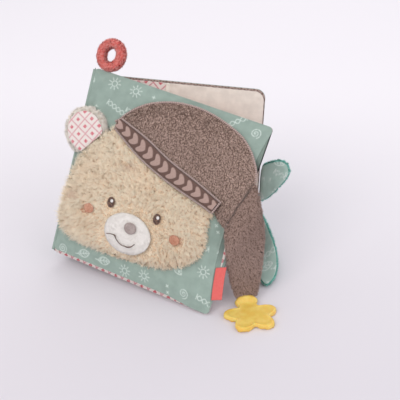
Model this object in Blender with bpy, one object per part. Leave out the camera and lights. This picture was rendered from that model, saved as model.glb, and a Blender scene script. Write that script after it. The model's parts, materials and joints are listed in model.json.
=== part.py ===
"""Crinkle cloth book, fanned open: a bear's head in a long stuffed cap on its cover,
two padded leaves behind, and a star teether at the cap's end.

The frame is +X right, -Y towards the viewer and +Z up, in metres, with the origin
on the surface that the book stands on, under the middle of its bounding box.
"""
import math

import bmesh
import bpy
from mathutils import Vector

MM = 0.001

# Cloth, film and clearances shared by all leaves
TOUCH = 0.3 * MM
SKIN = 0.8 * MM
FILM = 0.4 * MM
PAD_RISE = 12 * MM
FLAP_GAP = 0.9 * MM

# Front cover: where its lower spine corner stands, how long its edges are and where they point
COVER_FOOT = Vector((-112 * MM, -65 * MM, 13.6 * MM))
COVER_WIDTH = 158 * MM
COVER_HEIGHT = 166 * MM
COVER_RIGHT_BOW = 8 * MM
COVER_TRIM = 2.2 * MM
COVER_FLARE = 3.5 * MM
COVER_ROUND = 5 * MM
COVER_HALF = 3.6 * MM
COVER_HEM = 2.5 * MM
SPINE_EDGE_DEG = (50.7, 66.3)
TOP_EDGE_DEG = (-19.8, -11.5)
BOTTOM_EDGE_DEG = (-28.6, -4.5)

# Rear leaves: the page and the back cover stand on one bottom line
REAR_FOOT = Vector((-80 * MM, -26.2 * MM, 0))
REAR_YAW_DEG = 14.5
REAR_LEAN_DEG = 10
PAGE_WIDTH = 149.8 * MM
PAGE_HEIGHT = 154.2 * MM
BACK_WIDTH = 149.8 * MM
BACK_HEIGHT = 153.8 * MM
LEAF_ROUND = 8 * MM
PAGE_HALF = 2.6 * MM
BACK_HALF = 3.2 * MM
LEAF_GAP = 0.4 * MM
BASE_HEM = 3 * MM
STRIP_WIDTH = 65 * MM
BINDING_WIDTH = 3 * MM
BINDING_PROUD = 0.7 * MM

# Spine gusset
GUSSET_HALF = 0.9 * MM
GUSSET_BOW = 14 * MM
GUSSET_CLEAR = 1.75 * MM

# Bear's head, measured on the cover: across from the spine edge, down from the top edge
HEAD_ACROSS = 75.5 * MM
HEAD_DOWN = 108 * MM
HEAD_HALF_WIDTH = 70 * MM
HEAD_HALF_HEIGHT = 41 * MM
HEAD_CROWN = 9.6 * MM

# Face pieces: centres from the head's middle, then half sizes
MUZZLE_SPOT = (-0.3 * MM, 15.8 * MM)
MUZZLE_HALF = (21.5 * MM, 17 * MM)
MUZZLE_CROWN = 5 * MM
NOSE_SPOT = (3.4 * MM, 9.7 * MM)
NOSE_HALF = (5.6 * MM, 4.8 * MM)
NOSE_CROWN = 3 * MM
EYE_SPREAD = 23 * MM
EYE_DROP = -4.5 * MM
EYE_HALF = (3.8 * MM, 4.9 * MM)
EYE_CROWN = 1 * MM
GLINT_OFFSET = (1.1 * MM, -1.6 * MM)
GLINT_RADIUS = 1.4 * MM
GLINT_CROWN = 0.5 * MM
CHEEK_SPREAD = 43 * MM
CHEEK_DROP = 7 * MM
CHEEK_HALF = (5 * MM, 4.2 * MM)
CHEEK_CROWN = 1 * MM
MOUTH_LENGTH = 32 * MM
MOUTH_SAG = 6.5 * MM
MOUTH_DROP = 19.3 * MM
MOUTH_RADIUS = 0.55 * MM

# Ear
EAR_HEADING_DEG = 217.5
EAR_BASE = (17.3 * MM, 60.5 * MM)
EAR_RADIUS = 20 * MM
EAR_STAND_OFF = 11.3 * MM
EAR_CROWN = 5 * MM
EAR_EDGE = 2 * MM
EAR_PRINT_MARGIN = 3.5 * MM
EAR_PRINT_CROWN = 1.6 * MM

# Cap: its chord runs from its left end to the foot of the fold
CAP_START = (31.4 * MM, 41 * MM)
CAP_SLOPE_DEG = 21.3
CAP_LENGTH = 135 * MM
CAP_SAG = 5.4 * MM
CROWN_RISE = 63.8 * MM
CROWN_SEAT = 7.8 * MM
CROWN_PUFF = 2.2 * MM
CROWN_EDGE = 2 * MM
CROWN_REACH = 14 * MM
CROWN_PUFF_START = 18 * MM
BAND_START = 5.5 * MM
BAND_END = 119 * MM
BAND_RISE = 12.6 * MM
BAND_UNDER = 8.1 * MM
BAND_EDGE = 1.4 * MM
BAND_CROWN = 1.3 * MM
SEAM_LIFT = 3.4 * MM
SEAM_HALF = 0.3 * MM
CORD_RADIUS = 0.8 * MM

# Cap's tail: how far its two edges lie right of and behind the fold's ends, from the fold to the foot
TAIL_LEFT = ((0.6 * MM, -8.1 * MM), (3.2 * MM, -9.1 * MM), (6.8 * MM, -10.1 * MM), (10.6 * MM, -11.4 * MM))
TAIL_RIGHT = ((6.1 * MM, -8.6 * MM), (8.5 * MM, -12.6 * MM), (8.1 * MM, -17.6 * MM), (4.1 * MM, -24.4 * MM))
TAIL_FOOT_RISE = 5.1 * MM
TAIL_HALVES = (3.9 * MM, 7 * MM, 7 * MM, 6 * MM, 4 * MM)
TAIL_HEADING_DEG = 20
TAIL_GAP = 0.5 * MM

# Star teether: its neck and its joint are measured from the middle of the tail's foot
STAR_NECK = Vector((-0.8 * MM, -2.5 * MM, 0))
STAR_HINGE = Vector((-0.2 * MM, -6.7 * MM, 0))
STAR_HEADING_DEG = -79
STAR_RADIUS = 23 * MM
STAR_WAIST = 14 * MM
STAR_SQUASH = 0.87
STAR_THICK = 4.6 * MM
STAR_FLOOR_DEPTH = 0.8 * MM
STAR_ARMS = 5

# Hanging loop of padded strap
LOOP_ACROSS = 11.4 * MM
LOOP_RADIUS = 10 * MM
LOOP_THICK_HALF = 3.2 * MM
LOOP_WIDE_HALF = 3.8 * MM
LOOP_TURN_DEG = 10
LOOP_GAP = 0.75 * MM

# Side label
LABEL_DROP = 126.5 * MM
LABEL_LENGTH = 27 * MM
LABEL_WIDTH = 9.1 * MM
LABEL_SKEW = 3.6 * MM
LABEL_HALF = 0.5 * MM

# Fish-tail fins on the back cover's right edge
FIN_HALF = 2.3 * MM
FIN_EDGE = 1.2 * MM
UPPER_FIN_ROOT = (54 * MM, 90 * MM)
UPPER_FIN_REACH = 24.5 * MM
LOWER_FIN_ROOT = (14 * MM, 46 * MM)
LOWER_FIN_TIP = Vector((75.3 * MM, -100.5 * MM, 3.2 * MM))
LOWER_FIN_KNEE = Vector((80 * MM, -70 * MM, 18 * MM))
LOWER_FIN_KNEE_HALF = 11.5 * MM
LOWER_FIN_TIP_HALF = 9.5 * MM
LOWER_FIN_SIDE_DEG = -12

# Outlines as shares of the sizes above, from the spine end to the fold end
CROWN_TOP_SHARES = (
    (0.015, 0.11), (0.04, 0.28), (0.085, 0.465), (0.15, 0.63), (0.245, 0.79), (0.353, 0.905), (0.46, 0.97),
    (0.58, 1.0), (0.695, 1.0), (0.793, 0.945), (0.873, 0.858), (0.925, 0.78), (0.96, 0.69),
)
CAP_LOWER_SHARES = (0, -0.42, -0.87, -1.0, -0.9, -0.6, -0.2, 0.1, -0.5)
BAND_TOP_SHARES = (0.76, 0.87, 0.80, 0.93, 0.985)
HEAD_OUTLINE_SHARES = (
    (-0.60, -1.54), (-0.764, -1.22), (-0.886, -0.902), (-0.957, -0.463), (-1.0, -0.05), (-1.019, 0.34),
    (-1.0, 0.585), (-0.936, 0.76), (-0.786, 0.90), (-0.529, 0.975), (-0.283, 0.995), (-0.041, 0.985),
    (0.207, 0.935), (0.507, 0.84), (0.743, 0.666), (0.883, 0.463), (0.965, 0.22), (0.981, -0.024),
    (0.955, -0.27), (0.935, -0.50),
)
MOUTH_SHARES = (
    (-0.58, 0.32), (-0.43, 0.10), (-0.30, 0.06), (-0.235, 0.45), (-0.09, 0.90), (0.08, 1.0), (0.24, 0.78), (0.34, 0.22),
)
UPPER_FIN_SHARES = (
    (0.0, 0.0), (0.35, 0.16), (0.68, 0.44), (0.86, 0.62), (1.0, 0.84), (0.90, 1.04), (0.66, 1.10), (0.40, 1.05),
    (0.0, 0.93),
)
HEAD_RING_SHARES = ((1.0, 0.21), (0.965, 0.44), (0.92, 0.63), (0.84, 0.78), (0.62, 0.90), (0.32, 0.98))
SMALL_RING_SHARES = ((1.0, 0.45), (0.72, 0.88))
MUZZLE_RING_SHARES = ((1.0, 0.30), (0.90, 0.66), (0.70, 0.88), (0.38, 0.98))
EAR_RING_SHARES = ((1.0, 0.40), (0.90, 0.80), (0.70, 1.0))
COVER_LINE_SHARES = (0, 0.03, 0.08, 0.22, 0.36, 0.5, 0.64, 0.78, 0.92, 0.97, 1)
LEAF_LINE_SHARES = (0, 0.03, 0.08, 0.36, 0.64, 0.92, 0.97, 1)
CROWN_LINE_SHARES = (0, 0.03, 0.06, 0.1, 0.15, 0.2, 0.26, 0.33, 0.41, 0.5, 0.58, 0.66, 0.73, 0.8, 0.86, 0.91, 0.96, 1)
CROWN_RISE_SHARES = (0, 0.1, 0.24, 0.42, 0.62, 0.8, 0.92, 1)
BAND_RISE_SHARES = (0, 0.15, 0.5, 0.85, 1)
SEAM_DROP_SHARE = 0.5
FILLING_MARGIN_SHARE = 0.5
TAIL_LEFT_RISE_SHARES = (0.781, 0.481, 0.198, 0)
TAIL_RIGHT_RISE_SHARES = (0.816, 0.551, 0.264, 0)
STAR_RING_SHARES = ((1, 0.6), (0.97, 0.92), (0.90, 1), (0.83, 0.95))
STAR_FLOOR_SHARES = (0.79, 0.4, 0)
STAR_BLUNT_SHARE = 0.6
LOOP_FULLNESS_SHARE = 0.7
UPPER_FIN_MIDDLE_SHARES = (0.5, 0.6)
LOWER_FIN_LINE_SHARES = (0, 0.15, 0.3, 0.45, 0.58, 0.7, 0.8, 0.88, 0.94, 0.98, 1)
LOWER_FIN_CROSS_SHARES = (0, 0.12, 0.3, 0.5, 0.7, 0.88, 1)
LOWER_FIN_TIP_SHARE = 0.55
LOWER_FIN_BLUNT_SHARE = 0.02
LOWER_FIN_HEM_SHARE = 0.25
LOWER_FIN_SEWN_SHARE = 0.33
LOWER_FIN_STEP_SHARE = 0.02

LOOKS = {
    "mint_cotton": ((0.32, 0.46, 0.40), 0.9),
    "diamond_cotton": ((0.78, 0.48, 0.50), 0.9),
    "wadding": ((0.92, 0.91, 0.88), 1.0),
    "crinkle_film": ((0.80, 0.82, 0.84), 0.25),
    "cream_plush": ((0.78, 0.58, 0.38), 1.0),
    "white_plush": ((0.85, 0.82, 0.76), 1.0),
    "grey_pile": ((0.30, 0.26, 0.25), 1.0),
    "brown_thread": ((0.06, 0.03, 0.02), 0.7),
    "white_thread": ((0.9, 0.9, 0.88), 0.7),
    "rust_cotton": ((0.50, 0.18, 0.07), 0.9),
    "taupe_plush": ((0.26, 0.19, 0.16), 1.0),
    "band_knit": ((0.55, 0.50, 0.44), 0.95),
    "taupe_cord": ((0.20, 0.14, 0.11), 0.8),
    "yellow_rubber": ((0.85, 0.52, 0.06), 0.45),
    "coral_terry": ((0.80, 0.12, 0.10), 1.0),
    "coral_ribbon": ((0.84, 0.14, 0.12), 0.6),
    "cream_cotton": ((0.70, 0.62, 0.54), 0.9),
    "brown_cotton": ((0.10, 0.05, 0.04), 0.9),
    "teal_plush": ((0.16, 0.52, 0.44), 1.0),
}

places = {}
materials = {}


def clear_scene():
    """Removes whatever the open file holds."""
    for item in list(bpy.data.objects):
        bpy.data.objects.remove(item)


def material(look):
    """Returns the material of that name, made once."""
    if look not in materials:
        colour, roughness = LOOKS[look]
        made = bpy.data.materials.new(look)
        made.use_nodes = True
        shader = made.node_tree.nodes["Principled BSDF"]
        shader.inputs["Base Color"].default_value = (*colour, 1)
        shader.inputs["Roughness"].default_value = roughness
        shader.inputs["Metallic"].default_value = 0
        materials[look] = made
    return materials[look]


def add_empty(name, place, parent=None):
    """Adds an empty on a joint's axis; the place is in the book's own frame."""
    empty = bpy.data.objects.new(name, None)
    bpy.context.scene.collection.objects.link(empty)
    if parent:
        empty.parent = parent
        empty.location = place - places[parent]
    places[empty] = place
    return empty


def add_object(name, data, look, parent):
    """Links a mesh or a curve under its joint's empty."""
    data.materials.append(material(look))
    made = bpy.data.objects.new(name, data)
    bpy.context.scene.collection.objects.link(made)
    made.parent = parent
    return made


def add_solid(name, shape, look, parent):
    """Turns a closed bmesh in the book's frame into a named object."""
    bmesh.ops.translate(shape, verts=shape.verts, vec=-places[parent])
    bmesh.ops.recalc_face_normals(shape, faces=shape.faces)
    data = bpy.data.meshes.new(name)
    shape.to_mesh(data)
    shape.free()
    data.shade_smooth()
    data.set_sharp_from_angle(angle=math.radians(48))
    return add_object(name, data, look, parent)


def ease(share):
    """Rises from 0 to 1 with level ends."""
    share = min(max(share, 0), 1)
    return share * share * (3 - 2 * share)


def hump(share):
    """Is 0 at both ends and 1 in the middle."""
    return 4 * share * (1 - share)


def heading(azimuth_deg, elevation_deg=0):
    """Returns the unit vector at an azimuth from +X and an elevation."""
    turn, rise = math.radians(azimuth_deg), math.radians(elevation_deg)
    return Vector((math.cos(rise) * math.cos(turn), math.cos(rise) * math.sin(turn), math.sin(rise)))


def smooth_curve(points, share):
    """Reads a Catmull-Rom curve through the points at a share of its length in spans."""
    last = len(points) - 1
    place = min(max(share, 0), 1) * last
    index = min(int(place), last - 1)
    part = place - index
    before, start, end, after = (points[min(max(index + step, 0), last)] for step in (-1, 0, 1, 2))
    return tuple(
        0.5 * (2 * b + (c - a) * part + (2 * a - 5 * b + 4 * c - d) * part**2
               + (3 * b - a - 3 * c + d) * part**3)
        for a, b, c, d in zip(before, start, end, after)
    )


class Leaf:
    """A cloth leaf with four corners: across from its spine edge, down from its top, out of its face."""

    def __init__(self, corners, out, width, height, corner_radius, right_bow=0, trim=0, flare=0):
        self.top_left, self.top_right, self.bottom_right, self.bottom_left = corners
        self.out = out
        self.width = width
        self.height = height
        self.corner_radius = corner_radius
        self.right_bow = right_bow
        self.trim = trim
        self.flare = flare
        edges = self.top_right - self.top_left + self.bottom_right - self.bottom_left
        self.across = edges.normalized()

    def point(self, across, down, out=0):
        """Returns the place on the leaf's middle surface, moved out by a distance."""
        u, v = across / self.width, down / self.height
        top = self.top_left.lerp(self.top_right, u) if 0 <= u <= 1 else self.beyond(u, 0)
        bottom = self.bottom_left.lerp(self.bottom_right, u) if 0 <= u <= 1 else self.beyond(u, 1)
        bow = self.across * self.right_bow * u * hump(min(max(v, 0), 1))
        return top + (bottom - top) * v - bow + self.out * out

    def right_edge(self, v):
        """Returns how far across the leaf's own right edge lies at a share of its height."""
        return self.width - self.trim * math.sin(math.pi * v * v) + self.flare * (1 - v)**3

    def spot(self, u, v, out=0, short=0):
        """Returns a place on the trimmed leaf with rounded corners; short cuts it off above the bottom."""
        radius = self.corner_radius
        across, down = u * self.right_edge(v), v * self.height - short * (v == 1)
        side_x = across - radius if u < 0.5 else across - self.right_edge(v) + radius
        side_y = down - radius if v < 0.5 else down - self.height + short + radius
        x, y = side_x / radius, side_y / radius
        if (x < 0) == (u < 0.5) and (y < 0) == (v < 0.5):
            across += radius * x * (math.sqrt(1 - y * y / 2) - 1)
            down += radius * y * (math.sqrt(1 - x * x / 2) - 1)
        return self.point(across, down, out)

    def beyond(self, u, v):
        """Carries the top or the bottom edge straight on past its ends."""
        start, end = (self.bottom_left, self.bottom_right) if v else (self.top_left, self.top_right)
        return start + (end - start) * u


def slab(name, front, back, lines_u, lines_v, look, parent, twisted=False):
    """Closes a solid between two surfaces over one grid of shares; twisted cuts its faces in triangles."""
    shape = bmesh.new()
    fronts = [[shape.verts.new(front(u, v)) for u in lines_u] for v in lines_v]
    backs = [[shape.verts.new(back(u, v)) for u in lines_u] for v in lines_v]
    last_u, last_v = len(lines_u) - 1, len(lines_v) - 1
    for row in range(last_v):
        for column in range(last_u):
            for side in (fronts, backs):
                shape.faces.new((side[row][column], side[row][column + 1],
                                 side[row + 1][column + 1], side[row + 1][column]))
    rim = [(0, column) for column in range(last_u)] + [(row, last_u) for row in range(last_v)]
    rim += [(last_v, last_u - column) for column in range(last_u)]
    rim += [(last_v - row, 0) for row in range(last_v)]
    for (row, column), (next_row, next_column) in zip(rim, rim[1:] + rim[:1]):
        shape.faces.new((fronts[row][column], fronts[next_row][next_column],
                         backs[next_row][next_column], backs[row][column]))
    if twisted:
        bmesh.ops.triangulate(shape, faces=shape.faces)
    return add_solid(name, shape, look, parent)


def dome(name, place, rim, rings, look, parent):
    """Closes a solid over a flat back: rings are (share of the rim's offsets, height), rim first."""
    shape = bmesh.new()
    steps = len(rim)

    def ring(share, height):
        return [shape.verts.new(place(share * x, share * y, height)) for x, y in rim]

    def join(outer, inner):
        for step in range(steps):
            follow = (step + 1) % steps
            shape.faces.new((outer[step], outer[follow], inner[follow], inner[step]))

    def close(loop, height):
        middle = shape.verts.new(place(0, 0, height))
        for step in range(steps):
            shape.faces.new((loop[step], loop[(step + 1) % steps], middle))

    tops = [ring(share, height) for share, height in rings[:-1]]
    backs = [ring(share, 0) for share, _ in rings[:-1]]
    for loops in (tops, backs):
        for outer, inner in zip(loops, loops[1:]):
            join(outer, inner)
    join(tops[0], backs[0])
    close(tops[-1], rings[-1][1])
    close(backs[-1], 0)
    return add_solid(name, shape, look, parent)


def loft(name, sections, look, parent):
    """Skins a row of closed sections, each a list of as many points, and closes both ends."""
    shape = bmesh.new()
    loops = [[shape.verts.new(point) for point in section] for section in sections]
    for loop, follow in zip(loops, loops[1:]):
        for step in range(len(loop)):
            ahead = (step + 1) % len(loop)
            shape.faces.new((loop[step], loop[ahead], follow[ahead], follow[step]))
    shape.faces.new(loops[0])
    shape.faces.new(loops[-1])
    return add_solid(name, shape, look, parent)


def cord(name, points, radius, look, parent):
    """Adds a round cord with filled ends through a row of points in the book's frame."""
    data = bpy.data.curves.new(name, "CURVE")
    data.dimensions = "3D"
    data.bevel_depth = radius
    data.bevel_resolution = 1
    data.use_fill_caps = True
    spline = data.splines.new("POLY")
    spline.points.add(len(points) - 1)
    for knot, point in zip(spline.points, points):
        knot.co = (*(point - places[parent]), 1)
    return add_object(name, data, look, parent)


def even_shares(count):
    """Returns shares from 0 to 1 in equal steps."""
    return [step / count for step in range(count + 1)]


# Frames of the two leaves

def cover_leaf():
    """Places the front cover by its foot and the headings of its edges."""
    bottom_left = COVER_FOOT
    top_left = bottom_left + heading(*SPINE_EDGE_DEG) * COVER_HEIGHT
    top_right = top_left + heading(*TOP_EDGE_DEG) * COVER_WIDTH
    bottom_right = bottom_left + heading(*BOTTOM_EDGE_DEG) * COVER_WIDTH
    out = (bottom_right - top_left).cross(bottom_left - top_right).normalized()
    corners = (top_left, top_right, bottom_right, bottom_left)
    out = -out if out.y > 0 else out
    return Leaf(corners, out, COVER_WIDTH, COVER_HEIGHT, COVER_ROUND, COVER_RIGHT_BOW, COVER_TRIM, COVER_FLARE)


def rear_leaf(width, height):
    """Places a rear leaf; out is level, so that every layer keeps its foot on the ground."""
    along = heading(-REAR_YAW_DEG)
    away = heading(90 - REAR_YAW_DEG)
    lean = math.radians(REAR_LEAN_DEG)
    rise = away * math.sin(lean) + Vector((0, 0, math.cos(lean)))
    top_left = REAR_FOOT + rise * height
    corners = (top_left, top_left + along * width, REAR_FOOT + along * width, REAR_FOOT)
    return Leaf(corners, -away, width, height, LEAF_ROUND)


COVER = cover_leaf()
PAGE = rear_leaf(PAGE_WIDTH, PAGE_HEIGHT)
BACK = rear_leaf(BACK_WIDTH, BACK_HEIGHT)
EDGE_HALF = SKIN + TOUCH / 2
FACE = COVER_HALF + TOUCH
PAGE_MIDDLE = -PAGE_HALF
BACK_MIDDLE = -2 * PAGE_HALF - LEAF_GAP - BACK_HALF


def pad_half(leaf, full, u, v):
    """Half thickness of a leaf: a seam at the rim that swells to the full pad."""
    nearest = min(min(u, 1 - u) * leaf.width, min(v, 1 - v) * leaf.height)
    return EDGE_HALF + (full - EDGE_HALF) * ease(nearest / PAD_RISE)


def line_shares(leaf, size, inset=False):
    """Returns a leaf's grid lines along one of its sizes; inset leaves out those outside the filling."""
    shares = COVER_LINE_SHARES if leaf is COVER else LEAF_LINE_SHARES
    margin = PAD_RISE * FILLING_MARGIN_SHARE / size
    inner = [margin] + [share for share in shares if margin < share < 1 - margin] + [1 - margin]
    if inset:
        return inner
    return [share for share in shares if share < margin] + inner + [share for share in shares if share > 1 - margin]


def leaf_layer(name, leaf, front, back, look, parent, inset=False, lines_u=None, short=0):
    """Adds one layer of a leaf; front and back give the distance out at each pair of shares."""
    def surface(out):
        return lambda u, v: leaf.spot(u, v, out(u, v), short)

    across = lines_u or line_shares(leaf, leaf.width, inset)
    down = line_shares(leaf, leaf.height, inset)
    return slab(name, surface(front), surface(back), across, down, look, parent)


def build_filling(prefix, leaf, full, middle, parent):
    """Adds the wadding and, behind it, the crinkle film between a leaf's two skins."""
    def inner(u, v):
        return pad_half(leaf, full, u, v) - SKIN - TOUCH

    leaf_layer(f"{prefix}_wadding", leaf, lambda u, v: middle + inner(u, v),
               lambda u, v: middle - inner(u, v) + FILM + TOUCH, "wadding", parent, inset=True)
    leaf_layer(f"{prefix}_crinkle_film", leaf, lambda u, v: middle - inner(u, v) + FILM,
               lambda u, v: middle - inner(u, v), "crinkle_film", parent, inset=True)


def build_cover(parent):
    """Adds the front cover: its printed skin ends a hem's depth above the lining's lower edge."""
    def half(u, v):
        return pad_half(COVER, COVER_HALF, u, v)

    leaf_layer("front_cover_outer", COVER, half, lambda u, v: half(u, v) - SKIN, "mint_cotton", parent,
               short=COVER_HEM)
    build_filling("front_cover", COVER, COVER_HALF, 0, parent)
    leaf_layer("front_cover_lining", COVER, lambda u, v: SKIN - half(u, v), lambda u, v: -half(u, v),
               "diamond_cotton", parent)


def build_page(parent):
    """Adds the page: a diamond strip, a binding and a cream panel in front, and its filling and back."""
    def half(u, v):
        return pad_half(PAGE, PAGE_HALF, u, v)

    def front(u, v):
        return PAGE_MIDDLE + half(u, v)

    def under(u, v):
        return front(u, v) - SKIN

    def proud(u, v):
        return front(u, v) + BINDING_PROUD

    strip_end = STRIP_WIDTH / PAGE_WIDTH
    cream_start = (STRIP_WIDTH + BINDING_WIDTH) / PAGE_WIDTH
    gap = TOUCH / PAGE_WIDTH
    shares = line_shares(PAGE, PAGE_WIDTH)
    strip_lines = [share for share in shares if share < strip_end] + [strip_end - gap]
    cream_lines = [cream_start + gap] + [share for share in shares if share > cream_start]
    leaf_layer("page_diamond_strip", PAGE, front, under, "diamond_cotton", parent, lines_u=strip_lines)
    leaf_layer("page_binding", PAGE, proud, under, "cream_cotton", parent, lines_u=[strip_end, cream_start])
    leaf_layer("page_cream_panel", PAGE, front, under, "cream_cotton", parent, lines_u=cream_lines)
    build_filling("page", PAGE, PAGE_HALF, PAGE_MIDDLE, parent)
    leaf_layer("page_back", PAGE, lambda u, v: PAGE_MIDDLE - half(u, v) + SKIN,
               lambda u, v: PAGE_MIDDLE - half(u, v), "brown_cotton", parent)


def build_back_cover(parent):
    """Adds the back cover; its outer skin is turned in below as the hem that the book stands on."""
    def half(u, v):
        return pad_half(BACK, BACK_HALF, u, v)

    def hem(v):
        return (BASE_HEM - SKIN) * (v == 1)

    leaf_layer("back_cover_lining", BACK, lambda u, v: BACK_MIDDLE + half(u, v),
               lambda u, v: BACK_MIDDLE + half(u, v) - SKIN, "brown_cotton", parent)
    build_filling("back_cover", BACK, BACK_HALF, BACK_MIDDLE, parent)
    leaf_layer("back_cover_outer", BACK, lambda u, v: BACK_MIDDLE - half(u, v) + SKIN,
               lambda u, v: BACK_MIDDLE - half(u, v) - hem(v), "mint_cotton", parent)


def build_spine(parent):
    """Adds the gusset between the front cover's spine edge and the page's, narrow above and wide below."""
    def edge_pair(v):
        cover_edge = COVER.point(0, v * COVER_HEIGHT)
        page_edge = PAGE.point(0, v * PAGE_HEIGHT, PAGE_MIDDLE)
        step = (page_edge - cover_edge).normalized() * GUSSET_CLEAR
        return cover_edge + step, page_edge - step

    start, end = edge_pair(0.5)
    rise = COVER.point(0, 0) - COVER.point(0, COVER_HEIGHT)
    inward = rise.cross(end - start).normalized()
    inward = inward if inward.x > 0 else -inward

    def surface(side):
        def place(u, v):
            cover_edge, page_edge = edge_pair(v)
            return cover_edge.lerp(page_edge, u) + inward * (GUSSET_BOW * hump(u) * hump(v) + side * GUSSET_HALF)
        return place

    slab("spine_gusset", surface(-1), surface(1), even_shares(6), even_shares(8), "mint_cotton", parent)


# Outlines

def open_curve(points, count, scale_x, scale_y):
    """Samples a smooth curve through points given as shares of two sizes."""
    return [(x * scale_x, y * scale_y) for x, y in (smooth_curve(points, share) for share in even_shares(count))]


def oval(half_width, half_height, steps):
    """Returns the rim of an ellipse."""
    turns = [math.tau * step / steps for step in range(steps)]
    return [(half_width * math.cos(turn), half_height * math.sin(turn)) for turn in turns]


def heights(shares, crown):
    """Scales ring shares to heights and adds the peak."""
    return [(share, height * crown) for share, height in shares] + [(0, crown)]


def height_over(rings, share):
    """Reads a dome's height at a share of its rim; outside the rim it is zero."""
    for (outer, low), (inner, high) in zip(rings, rings[1:]):
        if inner <= share <= outer:
            return low + (high - low) * (outer - share) / (outer - inner)
    return 0


def cover_patch(across, down, out):
    """Returns a function that places offsets from one spot of the cover."""
    return lambda x, y, height: COVER.point(across + x, down + y, out + height)


# Cap, measured along its chord and above it

def cap_place(along, rise):
    """Turns a place along the cap's chord and above it into across and down on the cover."""
    slope = math.radians(CAP_SLOPE_DEG)
    across = CAP_START[0] + along * math.cos(slope) + rise * math.sin(slope)
    down = CAP_START[1] + along * math.sin(slope) - rise * math.cos(slope)
    return across, down


def lower_curve(along):
    """Height above the chord of the cap's lower outline, which sags and turns down at the fold."""
    shares = [(share,) for share in CAP_LOWER_SHARES]
    sag, = smooth_curve(shares, along / CAP_LENGTH)
    return sag * CAP_SAG


def seam_curve(along):
    """Height above the chord of the seam between head and crown: under the band, then at the outline."""
    beyond = ease((along - BAND_END) / (CAP_LENGTH - BAND_END) + SEAM_DROP_SHARE)
    return lower_curve(along) + SEAM_LIFT * (1 - beyond)


def crown_place(u, v, out=0):
    """Returns a place on the crown: u along the cap, v from the seam to the top edge."""
    along = u * CAP_LENGTH
    rise = seam_curve(along) + SEAM_HALF
    top_along, top_rise = smooth_curve(CROWN_TOP_SHARES, u)
    along += (top_along * CAP_LENGTH - along) * v
    rise += (top_rise * CROWN_RISE - rise) * v
    return COVER.point(*cap_place(along, rise), out)


def crown_thickness(u, v):
    """Thickness of the crown: thin at its edges, level under the band, puffed beyond it and at the fold."""
    tall = (crown_place(u, 1) - crown_place(u, 0)).length
    nearest = min(min(v, 1 - v) * tall, u * CAP_LENGTH)
    seat = CROWN_EDGE + (CROWN_SEAT - CROWN_EDGE) * ease(nearest / CROWN_REACH)
    return seat + CROWN_PUFF * ease((nearest - CROWN_PUFF_START) / CROWN_REACH)


def build_crown(parent):
    """Adds the stuffed crown of the cap, from its left end to the fold."""
    slab("cap_crown", lambda u, v: crown_place(u, v, FACE + crown_thickness(u, v)),
         lambda u, v: crown_place(u, v, FACE), CROWN_LINE_SHARES, CROWN_RISE_SHARES, "taupe_plush", parent)


def band_edges(share):
    """Returns how far along the cap a cut of the band lies and how high its two edges are."""
    along = BAND_START + (BAND_END - BAND_START) * share
    top, = smooth_curve([(height,) for height in BAND_TOP_SHARES], share)
    return along, lower_curve(along) + 2 * CORD_RADIUS + TOUCH, top * BAND_RISE


def build_band(parent):
    """Adds the knitted band over the seam and the corded stitching along both its edges."""
    def surface(height):
        def place(u, v):
            along, low, high = band_edges(u)
            return COVER.point(*cap_place(along, low + (high - low) * v), FACE + BAND_UNDER + height(v))
        return place

    slab("cap_band", surface(lambda v: BAND_EDGE + BAND_CROWN * hump(v)), surface(lambda v: 0),
         even_shares(16), BAND_RISE_SHARES, "band_knit", parent)
    clear = CORD_RADIUS + TOUCH
    for name, upper in (("band_cord_lower", False), ("band_cord_upper", True)):
        route = []
        for share in even_shares(20):
            along, low, high = band_edges(share)
            rise = high + clear if upper else low - clear
            route.append(COVER.point(*cap_place(along, rise), FACE + BAND_UNDER + CORD_RADIUS))
        cord(name, route, CORD_RADIUS, "taupe_cord", parent)


# Head and face

def head_rim():
    """Returns the head's rim from the cap's left end round below and back along the seam."""
    rim = open_curve(HEAD_OUTLINE_SHARES, 34, HEAD_HALF_WIDTH, HEAD_HALF_HEIGHT)
    start, end = rim[-1], rim[0]
    slope = math.radians(CAP_SLOPE_DEG)

    def along_of(place):
        x, y = HEAD_ACROSS + place[0] - CAP_START[0], HEAD_DOWN + place[1] - CAP_START[1]
        return x * math.cos(slope) + y * math.sin(slope)

    first, last = along_of(start), along_of(end)
    seam = []
    for share in even_shares(14):
        along = first + (last - first) * share
        across, down = cap_place(along, seam_curve(along) - SEAM_HALF)
        seam.append((across - HEAD_ACROSS, down - HEAD_DOWN))
    return rim[1:-1] + seam


def build_head(parent):
    """Adds the head, cut along the seam under the band, and returns its height at an offset."""
    rim = head_rim()
    rings = heights(HEAD_RING_SHARES, HEAD_CROWN)
    dome("head_plush", cover_patch(HEAD_ACROSS, HEAD_DOWN, FACE), rim, rings, "cream_plush", parent)
    bearings = sorted((math.atan2(y, x), math.hypot(x, y)) for x, y in rim)
    bearings.append((bearings[0][0] + math.tau, bearings[0][1]))

    def height_at(x, y):
        turn = math.atan2(y, x)
        if turn < bearings[0][0]:
            turn += math.tau
        for (low, near), (high, far) in zip(bearings, bearings[1:]):
            if low <= turn <= high:
                reach = near + (far - near) * (turn - low) / (high - low)
                return height_over(rings, math.hypot(x, y) / reach)
        return HEAD_CROWN

    return height_at


def build_patch(name, parent, spot, half, crown, look, base, shares=SMALL_RING_SHARES, steps=16):
    """Adds one sewn-on oval at an offset from the head's middle, just clear of what it lies on."""
    place = cover_patch(HEAD_ACROSS + spot[0], HEAD_DOWN + spot[1], FACE + base + TOUCH)
    return dome(name, place, oval(*half, steps), heights(shares, crown), look, parent)


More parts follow.
